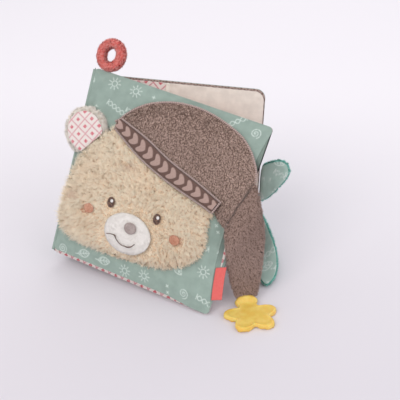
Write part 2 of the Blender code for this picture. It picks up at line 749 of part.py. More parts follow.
def build_mouth(parent, muzzle_out):
    """Adds the stitched mouth, which follows the muzzle's surface from its left edge."""
    rings = heights(MUZZLE_RING_SHARES, MUZZLE_CROWN)
    route = []
    for x, y in open_curve(MOUTH_SHARES, 18, MOUTH_LENGTH, MOUTH_SAG):
        y += MOUTH_DROP - MUZZLE_SPOT[1]
        share = math.hypot((x - MUZZLE_SPOT[0]) / MUZZLE_HALF[0], y / MUZZLE_HALF[1])
        out = muzzle_out + height_over(rings, share) + TOUCH + MOUTH_RADIUS
        route.append(COVER.point(HEAD_ACROSS + x, HEAD_DOWN + MUZZLE_SPOT[1] + y, out))
    cord("mouth_stitch", route, MOUTH_RADIUS, "brown_thread", parent)


def build_face(parent, height_at):
    """Adds the muzzle, nose, mouth, eyes and cheeks."""
    def base_under(spot, half):
        return max(height_at(spot[0] + x, spot[1] + y) for x, y in oval(*half, 8) + [(0, 0)])

    muzzle_base = base_under(MUZZLE_SPOT, MUZZLE_HALF)
    build_patch("muzzle", parent, MUZZLE_SPOT, MUZZLE_HALF, MUZZLE_CROWN, "white_plush",
                muzzle_base, MUZZLE_RING_SHARES, 24)
    muzzle_foot = muzzle_base + TOUCH
    build_patch("nose", parent, NOSE_SPOT, NOSE_HALF, NOSE_CROWN, "grey_pile", muzzle_foot + MUZZLE_CROWN)
    build_mouth(parent, FACE + muzzle_foot)
    for side, sign in (("left", -1), ("right", 1)):
        eye = (sign * EYE_SPREAD, EYE_DROP)
        eye_base = base_under(eye, EYE_HALF)
        build_patch(f"eye_{side}", parent, eye, EYE_HALF, EYE_CROWN, "brown_thread", eye_base)
        glint = (eye[0] + GLINT_OFFSET[0], eye[1] + GLINT_OFFSET[1])
        build_patch(f"eye_glint_{side}", parent, glint, (GLINT_RADIUS, GLINT_RADIUS), GLINT_CROWN,
                    "white_thread", eye_base + TOUCH + EYE_CROWN, steps=10)
        cheek = (sign * CHEEK_SPREAD, CHEEK_DROP)
        build_patch(f"cheek_{side}", parent, cheek, CHEEK_HALF, CHEEK_CROWN, "rust_cotton",
                    base_under(cheek, CHEEK_HALF))


def ear_rim(radius, stand_off):
    """Returns a round rim cut straight at a distance behind its middle, towards the head."""
    turn = math.radians(EAR_HEADING_DEG)
    cut = math.acos(-stand_off / radius)
    arc = [turn + cut * (2 * share - 1) for share in even_shares(24)]
    rim = [(radius * math.cos(angle), radius * math.sin(angle)) for angle in arc]
    start, end = rim[-1], rim[0]
    return rim + [(start[0] + (end[0] - start[0]) * share, start[1] + (end[1] - start[1]) * share)
                  for share in even_shares(5)[1:-1]]


def build_ear(parent):
    """Adds the ear's plush and the printed pad inside its rim, both cut straight at the base line."""
    turn = math.radians(EAR_HEADING_DEG)
    centre = (EAR_BASE[0] + math.cos(turn) * EAR_STAND_OFF, EAR_BASE[1] + math.sin(turn) * EAR_STAND_OFF)
    dome("ear_plush", cover_patch(*centre, FACE), ear_rim(EAR_RADIUS, EAR_STAND_OFF),
         heights(EAR_RING_SHARES, EAR_CROWN), "cream_plush", parent)
    dome("ear_print", cover_patch(*centre, FACE + EAR_CROWN + TOUCH),
         ear_rim(EAR_RADIUS - EAR_PRINT_MARGIN, EAR_STAND_OFF - SKIN),
         heights(SMALL_RING_SHARES, EAR_PRINT_CROWN), "diamond_cotton", parent)


# Tail and star

def fold_ends(out=FACE + CROWN_SEAT / 2):
    """Returns the lower and the upper end of the fold, half way through the crown's thickness."""
    return crown_place(1, 0, out), crown_place(1, 1, out)


def tail_edges():
    """Returns the tail's left and right edges, each from the fold to the foot just above the ground."""
    edges = []
    rises = (TAIL_LEFT_RISE_SHARES, TAIL_RIGHT_RISE_SHARES)
    for end, offsets, shares in zip(fold_ends(), (TAIL_LEFT, TAIL_RIGHT), rises):
        edge = [end + COVER.across * TAIL_GAP]
        for (right, behind), share in zip(offsets, shares):
            rise = TAIL_FOOT_RISE + (end.z - TAIL_FOOT_RISE) * share
            edge.append(Vector((end.x + right, end.y + behind, rise)))
        edges.append(edge)
    return edges


def foot_of_tail():
    """Returns the place on the ground under the middle of the tail's foot."""
    left, right = (edge[-1] for edge in tail_edges())
    return Vector(((left.x + right.x) / 2, (left.y + right.y) / 2, 0))


def tail_section(left, right, half, out):
    """Returns the points of one flattened round section between the tail's two edges."""
    middle, reach = (left + right) / 2, (right - left) / 2
    return [middle + reach * math.cos(turn) + out * half * math.sin(turn)
            for turn in (math.tau * step / 16 for step in range(16))]


def build_tail(parent):
    """Adds the stuffed tail that hangs from the fold and swells before it narrows to its foot."""
    lefts, rights = tail_edges()
    out = heading(-90 - TAIL_HEADING_DEG)
    sections = []
    for share in even_shares(3 * len(TAIL_LEFT)):
        left = Vector(smooth_curve(lefts, share))
        right = Vector(smooth_curve(rights, share))
        half, = smooth_curve([(size,) for size in TAIL_HALVES], share)
        sections.append(tail_section(left, right, half, out))
    loft("cap_tail", sections, "taupe_plush", parent)


def build_star(parent):
    """Adds the star teether flat on the ground, with its neck arm at the tail's foot."""
    forward = heading(STAR_HEADING_DEG)
    side = heading(STAR_HEADING_DEG + 90)
    centre = foot_of_tail() + STAR_NECK + forward * STAR_RADIUS * STAR_SQUASH

    def place(x, y, height):
        level = centre + side * x + forward * y
        return Vector((level.x, level.y, height))

    rim = []
    for share in even_shares(50)[:-1]:
        turn = math.tau * share
        arm = (1 + math.cos(STAR_ARMS * (turn + math.pi / 2))) / 2
        reach = STAR_WAIST + (STAR_RADIUS - STAR_WAIST) * arm**STAR_BLUNT_SHARE
        rim.append((reach * math.cos(turn), reach * math.sin(turn) * STAR_SQUASH))
    floor = STAR_THICK - STAR_FLOOR_DEPTH
    rings = [(share, height * STAR_THICK) for share, height in STAR_RING_SHARES]
    rings += [(share, floor) for share in STAR_FLOOR_SHARES]
    dome("star_teether", place, rim, rings, "yellow_rubber", parent)


# Loop, label and fins

def build_loop(parent):
    """Adds the ring of padded strap that stands on the cover's upper spine corner."""
    foot = COVER.point(LOOP_ACROSS, 0)
    up = (foot - COVER.point(LOOP_ACROSS, COVER_HEIGHT)).normalized()
    middle = foot + up * (LOOP_RADIUS + LOOP_THICK_HALF + LOOP_GAP)
    turn = math.radians(LOOP_TURN_DEG)
    axis = (COVER.out * math.cos(turn) - COVER.across * math.sin(turn)).normalized()
    down = (axis * up.dot(axis) - up).normalized()
    side = axis.cross(down)
    shape = bmesh.new()
    rings = []
    for share in even_shares(24)[:-1]:
        turn = math.tau * share
        radial = down * math.cos(turn) + side * math.sin(turn)
        ring = []
        for corner in even_shares(10)[:-1]:
            lean = math.tau * corner
            thick = math.copysign(abs(math.cos(lean))**LOOP_FULLNESS_SHARE, math.cos(lean)) * LOOP_THICK_HALF
            wide = math.copysign(abs(math.sin(lean))**LOOP_FULLNESS_SHARE, math.sin(lean)) * LOOP_WIDE_HALF
            ring.append(shape.verts.new(middle + radial * (LOOP_RADIUS + thick) + axis * wide))
        rings.append(ring)
    for ring, follow in zip(rings, rings[1:] + rings[:1]):
        for corner in range(len(ring)):
            ahead = (corner + 1) % len(ring)
            shape.faces.new((ring[corner], ring[ahead], follow[ahead], follow[corner]))
    add_solid("hanging_loop", shape, "coral_terry", parent)


def label_place(u, v, out=0):
    """Returns a place on the label, which is sewn along the cover's right edge and leans up outwards."""
    down = LABEL_DROP + v * LABEL_LENGTH
    edge = COVER.right_edge(down / COVER_HEIGHT) + FLAP_GAP
    return COVER.point(edge + u * LABEL_WIDTH, down - u * LABEL_SKEW, out)


def build_label(parent):
    """Adds the folded ribbon label at the cover's right edge."""
    slab("side_label", lambda u, v: label_place(u, v, LABEL_HALF), lambda u, v: label_place(u, v, -LABEL_HALF),
         even_shares(2), even_shares(4), "coral_ribbon", parent)


def rear_edge_place(rise, beyond=0, out=BACK_MIDDLE):
    """Returns a place beside the back cover's right edge, at a height up the leaf."""
    return BACK.point(BACK_WIDTH + beyond, BACK_HEIGHT - rise, out)


def build_upper_fin(parent):
    """Adds the upper lobe beside the back cover's edge: a printed front and a plush back."""
    low, high = UPPER_FIN_ROOT
    outline = open_curve(UPPER_FIN_SHARES, 20, UPPER_FIN_REACH, high - low)
    start, end = outline[-1], outline[0]
    root = [(0, start[1] + (end[1] - start[1]) * share) for share in even_shares(5)[1:-1]]
    middle = (UPPER_FIN_REACH * UPPER_FIN_MIDDLE_SHARES[0], (high - low) * UPPER_FIN_MIDDLE_SHARES[1])
    rim = [(x - middle[0], y - middle[1]) for x, y in outline + root]

    def side(sign):
        def place(x, y, height):
            rise = low + middle[1] + y
            return rear_edge_place(rise, FLAP_GAP + middle[0] + x) + BACK.out * sign * (TOUCH / 2 + height)
        return place

    rings = heights(EAR_RING_SHARES, FIN_HALF)
    dome("upper_fin_front", side(1), rim, rings, "mint_cotton", parent)
    dome("upper_fin_back", side(-1), rim, rings, "teal_plush", parent)


def build_lower_fin(parent):
    """Adds the lower lobe, which bends forward from the edge and rests on the ground with a round tip."""
    low, high = LOWER_FIN_ROOT
    side = heading(LOWER_FIN_SIDE_DEG)
    tip_start = LOWER_FIN_TIP_SHARE

    def middle_of(u, v):
        swing = 1 - 2 * v
        edge = rear_edge_place((low + high) / 2 - swing * (high - low) / 2, FLAP_GAP + FIN_EDGE)
        narrow = math.sqrt(max(1 - (max(u - tip_start, 0) / (1 - tip_start))**2, LOWER_FIN_BLUNT_SHARE))
        knee = LOWER_FIN_KNEE - side * LOWER_FIN_KNEE_HALF * swing
        tip = LOWER_FIN_TIP - side * LOWER_FIN_TIP_HALF * swing
        bend = edge * (1 - u)**2 + knee * 2 * u * (1 - u) + tip * u**2
        middle = middle_line(u)
        return middle + (bend - middle) * narrow

    def middle_line(u):
        edge = rear_edge_place((low + high) / 2, FLAP_GAP + FIN_EDGE)
        return edge * (1 - u)**2 + LOWER_FIN_KNEE * 2 * u * (1 - u) + LOWER_FIN_TIP * u**2

    def half(u, v):
        hem = ease(min(v, 1 - v) / LOWER_FIN_HEM_SHARE) * ease((1 - u) / LOWER_FIN_HEM_SHARE)
        return FIN_EDGE + (FIN_HALF - FIN_EDGE) * hem * ease(u / LOWER_FIN_SEWN_SHARE)

    def upper_side(u, v):
        step = LOWER_FIN_STEP_SHARE
        along = middle_of(min(u + step, 1), v) - middle_of(max(u - step, 0), v)
        across = middle_of(u, min(v + step, 1)) - middle_of(u, max(v - step, 0))
        return along.cross(across).normalized()

    def layer(*reaches):
        return [lambda u, v, reach=reach: middle_of(u, v) + upper_side(u, v) * reach(u, v) for reach in reaches]

    lines = (LOWER_FIN_LINE_SHARES, LOWER_FIN_CROSS_SHARES)
    front = layer(half, lambda u, v: TOUCH / 2)
    back = layer(lambda u, v: -TOUCH / 2, lambda u, v: -half(u, v))
    slab("lower_fin_front", *front, *lines, "mint_cotton", parent, twisted=True)
    slab("lower_fin_back", *back, *lines, "teal_plush", parent, twisted=True)


def centre_on_ground(root):
    """Moves the root so that the origin lies under the middle of the book's bounding box."""
    bpy.context.view_layer.update()
    graph = bpy.context.evaluated_depsgraph_get()
    corners = []
    for item in bpy.data.objects:
        if item.type in {"MESH", "CURVE"}:
            shown = item.evaluated_get(graph)
            shape = shown.to_mesh()
            corners += [shown.matrix_world @ vertex.co for vertex in shape.vertices]
            shown.to_mesh_clear()
    for axis in (0, 1):
        values = [corner[axis] for corner in corners]
        root.location[axis] = -(min(values) + max(values)) / 2


def build_book():
    """Builds the tree of joints from the back cover up and hangs each piece on its own."""
    root = add_empty("book_frame", Vector((0, 0, 0)))
    page = add_empty("page_hinge", PAGE.point(0, PAGE_HEIGHT / 2, 2 * PAGE_MIDDLE - LEAF_GAP / 2), root)
    cover = add_empty("cover_hinge", COVER.point(0, COVER_HEIGHT / 2), page)
    tail = add_empty("tail_hinge", sum(fold_ends(FACE + CROWN_SEAT), Vector()) / 2, cover)
    star = add_empty("star_hinge", foot_of_tail() + STAR_HINGE + Vector((0, 0, STAR_THICK)), tail)
    ear = add_empty("ear_hinge", COVER.point(*EAR_BASE, FACE + EAR_EDGE), cover)
    loop = add_empty("loop_hinge", COVER.point(LOOP_ACROSS, 0), cover)
    label = add_empty("label_hinge", label_place(0, 0.5), cover)
    upper_fin = add_empty("upper_fin_hinge", rear_edge_place(sum(UPPER_FIN_ROOT) / 2), root)
    lower_fin = add_empty("lower_fin_hinge", rear_edge_place(sum(LOWER_FIN_ROOT) / 2), root)

    build_back_cover(root)
    build_page(page)
    build_spine(page)
    build_cover(cover)
    height_at = build_head(cover)
    build_face(cover, height_at)
    build_crown(cover)
    build_band(cover)
    build_ear(ear)
    build_tail(tail)
    build_star(star)
    build_loop(loop)
    build_label(label)
    build_upper_fin(upper_fin)
    build_lower_fin(lower_fin)
    centre_on_ground(root)


clear_scene()
build_book()
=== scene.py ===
"""Looks of the crinkle cloth book: printed cotton leaves, plush bear's head, cap, star and fins."""

import json
import math

import bmesh
import bpy
import numpy as np
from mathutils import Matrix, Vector, kdtree


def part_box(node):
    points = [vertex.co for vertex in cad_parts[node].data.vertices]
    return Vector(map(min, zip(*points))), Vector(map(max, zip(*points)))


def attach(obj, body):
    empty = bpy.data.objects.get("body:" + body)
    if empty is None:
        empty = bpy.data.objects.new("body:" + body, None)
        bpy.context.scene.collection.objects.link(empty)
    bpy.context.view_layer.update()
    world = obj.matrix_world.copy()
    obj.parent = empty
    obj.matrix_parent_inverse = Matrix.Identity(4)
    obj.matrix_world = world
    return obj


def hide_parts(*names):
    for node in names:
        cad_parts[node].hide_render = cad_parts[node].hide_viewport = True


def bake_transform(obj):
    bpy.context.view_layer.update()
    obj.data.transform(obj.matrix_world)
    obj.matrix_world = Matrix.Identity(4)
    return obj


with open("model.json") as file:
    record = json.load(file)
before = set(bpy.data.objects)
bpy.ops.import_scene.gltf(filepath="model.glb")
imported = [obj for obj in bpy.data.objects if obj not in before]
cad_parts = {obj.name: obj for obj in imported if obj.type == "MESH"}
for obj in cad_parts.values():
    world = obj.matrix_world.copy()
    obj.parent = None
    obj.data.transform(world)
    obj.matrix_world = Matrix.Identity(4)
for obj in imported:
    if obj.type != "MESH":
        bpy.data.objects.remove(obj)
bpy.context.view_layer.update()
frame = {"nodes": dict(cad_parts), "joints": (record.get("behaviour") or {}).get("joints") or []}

MM = 0.001
PLACES = {joint["name"]: np.array(joint["pos_m"]) for joint in frame["joints"]}
AXES = {joint["name"]: np.array(joint["axis"]) for joint in frame["joints"]}

# Sizes that the pieces share with the frame
COVER_WIDTH, COVER_HEIGHT, COVER_HALF, COVER_HEM = 158 * MM, 166 * MM, 3.6 * MM, 2.5 * MM
PAGE_WIDTH, PAGE_HEIGHT, BACK_WIDTH, BACK_HEIGHT = 149.8 * MM, 154.2 * MM, 149.8 * MM, 153.8 * MM
PAGE_HALF, BACK_HALF, LEAF_GAP, REAR_LEAN_DEG = 2.6 * MM, 3.2 * MM, 0.4 * MM, 10
EDGE_HALF, PAD_RISE, TOUCH = 0.95 * MM, 12 * MM, 0.3 * MM
STRIP_WIDTH, BINDING_WIDTH = 65 * MM, 3 * MM
FACE = COVER_HALF + TOUCH
HEAD_SPOT, MUZZLE_SPOT = np.array((75.5, 108)) * MM, np.array((-0.3, 15.8)) * MM
CAP_START, CAP_SLOPE_DEG, CAP_LENGTH, CAP_SAG = np.array((31.4, 41)) * MM, 21.3, 135 * MM, 5.4 * MM
CROWN_RISE, CROWN_SEAT, CROWN_PUFF, CROWN_EDGE = 63.8 * MM, 7.8 * MM, 2.2 * MM, 2 * MM
CROWN_REACH, CROWN_PUFF_START = 14 * MM, 18 * MM
BAND_START, BAND_END, BAND_RISE, BAND_UNDER = 5.5 * MM, 119 * MM, 12.6 * MM, 8.1 * MM
BAND_EDGE, BAND_CROWN, SEAM_LIFT, SEAM_HALF, CORD_RADIUS = 1.4 * MM, 1.3 * MM, 3.4 * MM, 0.3 * MM, 0.8 * MM
CROWN_TOP_SHARES = (
    (0.015, 0.11), (0.04, 0.28), (0.085, 0.465), (0.15, 0.63), (0.245, 0.79), (0.353, 0.905), (0.46, 0.97),
    (0.58, 1.0), (0.695, 1.0), (0.793, 0.945), (0.873, 0.858), (0.925, 0.78), (0.96, 0.69),
)
CAP_LOWER_SHARES = (0, -0.42, -0.87, -1.0, -0.9, -0.6, -0.2, 0.1, -0.5)
BAND_TOP_SHARES = (0.76, 0.87, 0.80, 0.93, 0.985)

# The face, in offsets from the head's middle
MUZZLE_HALF = np.array((21.5, 17)) * MM
EYES = np.array(((-23, -4.5), (23, -4.5))) * MM
CHEEKS, CHEEK_HALF = np.array(((-43, 7), (43, 7))) * MM, np.array((5.0, 4.4)) * MM
# Two creases in the pile that get painted shade
SHADED_CREASES = (((-16 * MM, -38 * MM), (12 * MM, 5 * MM)), ((-57 * MM, -2 * MM), (7 * MM, 7 * MM)))

# Each pile: fibres, length and width in mm, lean in degrees, looseness, tuft size in mm, gathering, seed
FIN_PILE = (18000, 2.1, 0.3, 28, 0.5, 1.2, 0.5, 33)
PILES = {
    "head_fur": (98000, 5.2, 0.42, 50, 0.36, 1.8, 0.36, 5),
    "muzzle_nap": (24000, 0.9, 0.24, 55, 0.5, 1.2, 0.3, 9),
    "crown_fur": (97000, 1.9, 0.28, 40, 0.45, 1.1, 0.7, 13),
    "ear_fur": (40000, 3.8, 0.32, 42, 0.3, 1.3, 0.3, 21),
    "tail_fur": (90000, 1.9, 0.28, 40, 0.45, 1.1, 0.7, 23),
    "loop_nap": (20000, 1.5, 0.34, 32, 0.8, 1.1, 0.8, 27),
    "upper_fin_fur": FIN_PILE,
    "lower_fin_fur": FIN_PILE,
}
LEAST_FIBRE = 0.05


# Numbers

def heading(azimuth_deg, elevation_deg=0):
    """Returns the unit vector at an azimuth from +X and an elevation."""
    turn, rise = math.radians(azimuth_deg), math.radians(elevation_deg)
    return np.array((math.cos(rise) * math.cos(turn), math.cos(rise) * math.sin(turn), math.sin(rise)))


def lengths(vectors):
    """Returns the lengths of vectors."""
    return np.linalg.norm(vectors, axis=-1)


def unit(vectors):
    """Scales vectors to length 1."""
    return vectors / np.maximum(lengths(vectors), 1e-12)[..., None]


def ease(share):
    """Rises from 0 to 1 with level ends."""
    share = np.clip(share, 0, 1)
    return share * share * (3 - 2 * share)


def hump(share):
    """Is 0 at both ends and 1 in the middle."""
    return 4 * share * (1 - share)


def smooth_curve(points, share):
    """Reads a Catmull-Rom curve through the points at shares of its length in spans."""
    points = np.asarray(points, float).reshape(len(points), -1)
    last = len(points) - 1
    place = np.clip(np.asarray(share, float), 0, 1) * last
    index = np.minimum(place.astype(int), last - 1)
    part = (place - index)[..., None]
    a, b, c, d = (points[np.clip(index + step, 0, last)] for step in (-1, 0, 1, 2))
    squared, cubed = 2 * a - 5 * b + 4 * c - d, 3 * b - a - 3 * c + d
    return 0.5 * (2 * b + (c - a) * part + squared * part**2 + cubed * part**3)


def noise(points, size, seed):
    """Smooth random values from -1 to 1 over space, with features of that size."""
    places = np.asarray(points, float) / size + 1000.0
    cell = np.floor(places).astype(np.int64)
    part = ease(places - cell)
    total = np.zeros(len(places))
    for corner in range(8):
        offset = np.array((corner & 1, corner >> 1 & 1, corner >> 2 & 1))
        key = (cell + offset) @ np.array((73856093, 19349663, 83492791)) + seed * 2654435761
        key = (key ^ key >> 13) * 1274126177 & 0x7FFFFFFF
        key = (key ^ key >> 16) * 668265263 & 0x7FFFFFFF
        weight = np.prod(np.where(offset, part, 1 - part), axis=1)
        total += weight * (key / 0x3FFFFFFF - 1)
    return total


def layered(points, size, seed):
    """Adds finer and fainter noise."""
    return sum(noise(points, size / 2**layer, seed + layer) / 1.7**layer for layer in range(3)) / 1.6


# Leaves

class Leaf:
    """A cloth leaf: across from its spine edge, down from its top, out of its face."""

    def __init__(self, body, half, middle, width, height, corners, out, radius, right_bow=0, trim=0, flare=0):
        self.body, self.half, self.middle, self.width, self.height = body, half, middle, width, height
        self.top_left, self.top_right, self.bottom_right, self.bottom_left = corners
        self.out, self.radius, self.right_bow, self.trim, self.flare = out, radius, right_bow, trim, flare
        self.across = unit(self.top_right - self.top_left + self.bottom_right - self.bottom_left)

    def point(self, across, down, out=0.0):
        """Returns places on the leaf's middle surface, moved out by a distance."""
        across, down, out = np.broadcast_arrays(*(np.asarray(x, float) for x in (across, down, out)))
        u, v = (across / self.width)[..., None], (down / self.height)[..., None]
        top = self.top_left + (self.top_right - self.top_left) * u
        bottom = self.bottom_left + (self.bottom_right - self.bottom_left) * u
        bow = self.across * self.right_bow * u * hump(np.clip(v, 0, 1))
        return top + (bottom - top) * v - bow + self.out * out[..., None]

    def right_edge(self, v):
        """Returns how far across the right edge lies at a share of the height."""
        return self.width - self.trim * np.sin(math.pi * v * v) + self.flare * (1 - v)**3

    def spot(self, u, v, out, short=0.0):
        """Returns places on the trimmed leaf with rounded corners."""
        radius, right = self.radius, self.right_edge(v)
        across, down = u * right, v * (self.height - short)
        side_x = np.where(u < 0.5, across - radius, across - right + radius)
        side_y = np.where(v < 0.5, down - radius, down - self.height + short + radius)
        x, y = np.clip(side_x / radius, -1, 1), np.clip(side_y / radius, -1, 1)
        corner = ((x < 0) == (u < 0.5)) & ((y < 0) == (v < 0.5))
        across = across + np.where(corner, radius * x * (np.sqrt(1 - y * y / 2) - 1), 0)
        down = down + np.where(corner, radius * y * (np.sqrt(1 - x * x / 2) - 1), 0)
        return self.point(across, down, out), across, down

    def swell(self, points, u, v, seed):
        """Half thickness: a seam at the rim that swells to the pad, with puckers and soft waves inside it."""
        nearest = np.minimum(np.minimum(u, 1 - u) * self.width, np.minimum(v, 1 - v) * self.height)
        pad = EDGE_HALF + (self.half - EDGE_HALF) * ease(nearest / PAD_RISE)
        pucker = noise(points, 5.5 * MM, seed) * np.exp(-nearest / (7 * MM)) * 0.75 * MM
        wave = layered(points, 24 * MM, seed + 5) * 0.55 * MM
        return pad + (pucker + wave) * ease(nearest / (3 * MM))


def cover_leaf():
    """Places the front cover so that its spine's middle lies on its joint."""
    bottom_left = np.zeros(3)
    top_left = heading(50.7, 66.3) * COVER_HEIGHT
    top_right = top_left + heading(-19.8, -11.5) * COVER_WIDTH
    bottom_right = heading(-28.6, -4.5) * COVER_WIDTH
    shift = PLACES["cover_turn"] - top_left / 2
    out = unit(np.cross(bottom_right - top_left, bottom_left - top_right))
    out = -out if out[1] > 0 else out
    corners = [corner + shift for corner in (top_left, top_right, bottom_right, bottom_left)]
    return Leaf("front_cover", COVER_HALF, 0.0, COVER_WIDTH, COVER_HEIGHT, corners, out, radius=5 * MM,
                right_bow=8 * MM, trim=2.2 * MM, flare=3.5 * MM)


def rear_leaf(body, half, middle, width, height):
    """Places a rear leaf on the page's joint line; out is level."""
    along, away = heading(-14.5), heading(75.5)
    lean = math.radians(REAR_LEAN_DEG)
    rise = away * math.sin(lean) + np.array((0, 0, math.cos(lean)))
    foot = PLACES["page_turn"] - rise * PAGE_HEIGHT / 2 - away * (2 * PAGE_HALF + LEAF_GAP / 2)
    top_left = foot + rise * height
    corners = (top_left, top_left + along * width, foot + along * width, foot)
    return Leaf(body, half, middle, width, height, corners, -away, 8 * MM)


COVER = cover_leaf()
COVER_DOWN = unit(COVER.bottom_left - COVER.top_left)
PAGE = rear_leaf("page", PAGE_HALF, -PAGE_HALF, PAGE_WIDTH, PAGE_HEIGHT)
BACK = rear_leaf("back_cover", BACK_HALF, -2 * PAGE_HALF - LEAF_GAP - BACK_HALF, BACK_WIDTH, BACK_HEIGHT)


# Meshes

def new_object(name, data):
    """Adds an object to the scene."""
    made = bpy.data.objects.new(name, data)
    bpy.context.scene.collection.objects.link(made)
    return made


def build_mesh(name, coords, *groups):
    """Makes a mesh object; a group of faces is an array with a row of corners for each."""
    totals = np.concatenate([np.full(len(faces), faces.shape[1], np.int32) for faces in groups])
    data = bpy.data.meshes.new(name)
    data.vertices.add(len(coords))
    data.vertices.foreach_set("co", np.asarray(coords, np.float32).ravel())
    data.loops.add(int(totals.sum()))
    data.loops.foreach_set("vertex_index", np.concatenate([faces.ravel() for faces in groups]).astype(np.int32))
    data.polygons.add(len(totals))
    data.polygons.foreach_set("loop_start", (np.cumsum(totals) - totals).astype(np.int32))
    data.polygons.foreach_set("loop_total", totals)
    data.update(calc_edges=True)
    data.shade_smooth()
    return new_object(name, data)


def outward(data, weld=False):
    """Turns a closed mesh's faces outward; weld first joins vertices that share a place."""
    shape = bmesh.new()
    shape.from_mesh(data)
    if weld:
        bmesh.ops.remove_doubles(shape, verts=shape.verts, dist=0.01 * MM)
    bmesh.ops.recalc_face_normals(shape, faces=shape.faces)
    shape.to_mesh(data)
    shape.free()


def give(piece, name, values):
    """Stores a value or a vector at each vertex for the piece's material."""
    values = np.asarray(values, np.float32)
    kind, key = ("FLOAT", "value") if values.ndim == 1 else ("FLOAT_VECTOR", "vector")
    piece.data.attributes.new(name, kind, "POINT").data.foreach_set(key, values.ravel())


def read(items, key, kind=np.float32):
    """Reads three numbers of each item in one of a mesh's lists."""
    flat = np.zeros(len(items) * 3, kind)
    items.foreach_get(key, flat)
    return flat.reshape(-1, 3)


def coords_of(piece):
    """Returns a mesh's vertex places."""
    return read(piece.data.vertices, "co").astype(float)


def normals_of(piece):
    """Returns a mesh's vertex normals."""
    return read(piece.data.vertex_normals, "vector").astype(float)


def move_to(piece, coords):
    """Writes a mesh's vertex places."""
    piece.data.vertices.foreach_set("co", np.asarray(coords, np.float32).ravel())
    piece.data.update()


def pattern(across, down):
    """Returns places on a flat pattern."""
    return np.column_stack((across, down, np.zeros(len(across))))


def lay_cloth(piece, origin, across, down):
    """Stores and returns each vertex's place on a flat pattern, in metres."""
    offset = coords_of(piece) - origin
    cloth = pattern(offset @ across, offset @ down)
    give(piece, "cloth", cloth)
    return cloth


def grid_faces(rows, columns):
    """Returns the quads of a grid of vertices."""
    index = np.arange(rows * columns).reshape(rows, columns)
    return np.stack((index[:-1, :-1], index[:-1, 1:], index[1:, 1:], index[1:, :-1]), axis=-1).reshape(-1, 4)


def grid_rim(rows, columns):
    """Returns the vertices round a grid's rim, in order."""
    index = np.arange(rows * columns).reshape(rows, columns)
    return np.concatenate((index[0, :-1], index[:-1, -1], index[-1, :0:-1], index[:0:-1, 0]))


def between(first, second):
    """Returns the quads between two closed rows of vertices."""
    return np.stack((first, np.roll(first, -1), np.roll(second, -1), second), axis=1)


def slab(name, place, back, us, vs):
    """Closes a solid: a fine front over a grid of shares, a rim, and straight strips behind."""
    u, v = (side.ravel() for side in np.meshgrid(us, vs))
    front, rim = place(u, v), grid_rim(len(vs), len(us))
    loop = len(front) + np.arange(len(rim))
    last, foot = len(us) - 1, 2 * len(us) + len(vs) - 3
    tops = np.arange(1, last - 1)
    strips = len(front) + np.stack((tops, tops + 1, foot - tops - 1, foot - tops), axis=1)
    ends = np.r_[loop[:2], loop[foot - 1:]], loop[last - 1:foot - last + 2]
    made = build_mesh(name, np.concatenate((front, back(u[rim], v[rim]))), grid_faces(len(vs), len(us)),
                      between(rim, loop), strips, *(end[None] for end in ends))
    outward(made.data)
    return made, u, v, rim


def copy_node(node, name, levels, push=0.0):
    """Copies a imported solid, smooths it by subdivision and moves its surface out."""
    data = frame["nodes"][node].data.copy()
    outward(data, weld=True)
    data.materials.clear()
    made = new_object(name, data)
    finer = made.modifiers.new("finer", "SUBSURF")
    finer.levels = finer.render_levels = levels
    bpy.context.view_layer.update()
    baked = bpy.data.meshes.new_from_object(made.evaluated_get(bpy.context.evaluated_depsgraph_get()))
    made.modifiers.clear()
    made.data = baked
    baked.name = name
    baked.shade_smooth()
    if push:
        move_to(made, coords_of(made) + normals_of(made) * push)
    return made


def skin_rings(name, coords, sides):
    """Skins rings of vertices into a closed tube."""
    index = np.arange(len(coords)).reshape(-1, sides)
    follow = np.roll(index, -1, axis=1)
    quads = np.stack((index[:-1], follow[:-1], follow[1:], index[1:]), axis=-1).reshape(-1, 4)
    made = build_mesh(name, coords, quads, index[:1, ::-1], index[-1:])
    outward(made.data)
    return made


def tube(name, path, radius, sides=8, rings=None):
    """Skins a round tube along a path of places; rings may give each ring's own radius."""
    ahead = unit(np.gradient(path, axis=0))
    up = unit(np.cross(ahead, np.eye(3)[np.argmin(np.abs(ahead).mean(0))]))
    other = np.cross(ahead, up)
    sizes = np.full(len(path), radius) if rings is None else rings
    turns = np.arange(sides) / sides * math.tau
    around = up[:, None] * np.cos(turns)[None, :, None] + other[:, None] * np.sin(turns)[None, :, None]
    made = skin_rings(name, (path[:, None] + around * sizes[:, None, None]).reshape(-1, 3), sides)
    run = np.r_[0, np.cumsum(lengths(np.diff(path, axis=0)))]
    give(made, "cloth", pattern(np.repeat(run, sides), np.tile(turns * radius, len(path))))
    return made


def scatter(source, count, rng):
    """Draws places over a mesh; returns them, their normals and twice the mesh's area."""
    source.data.calc_loop_triangles()
    index = read(source.data.loop_triangles, "vertices", np.int32)
    places, normals = coords_of(source), normals_of(source)
    a, b, c = (places[index[:, corner]] for corner in range(3))
    area = lengths(np.cross(b - a, c - a))
    chosen = rng.choice(len(index), size=count, p=area / area.sum())
    r1, r2 = np.sqrt(rng.random(count)), rng.random(count)
    weights = np.stack((1 - r1, r1 * (1 - r2), r1 * r2), axis=1)[..., None]
    return (places[index[chosen]] * weights).sum(1), unit((normals[index[chosen]] * weights).sum(1)), area.sum()


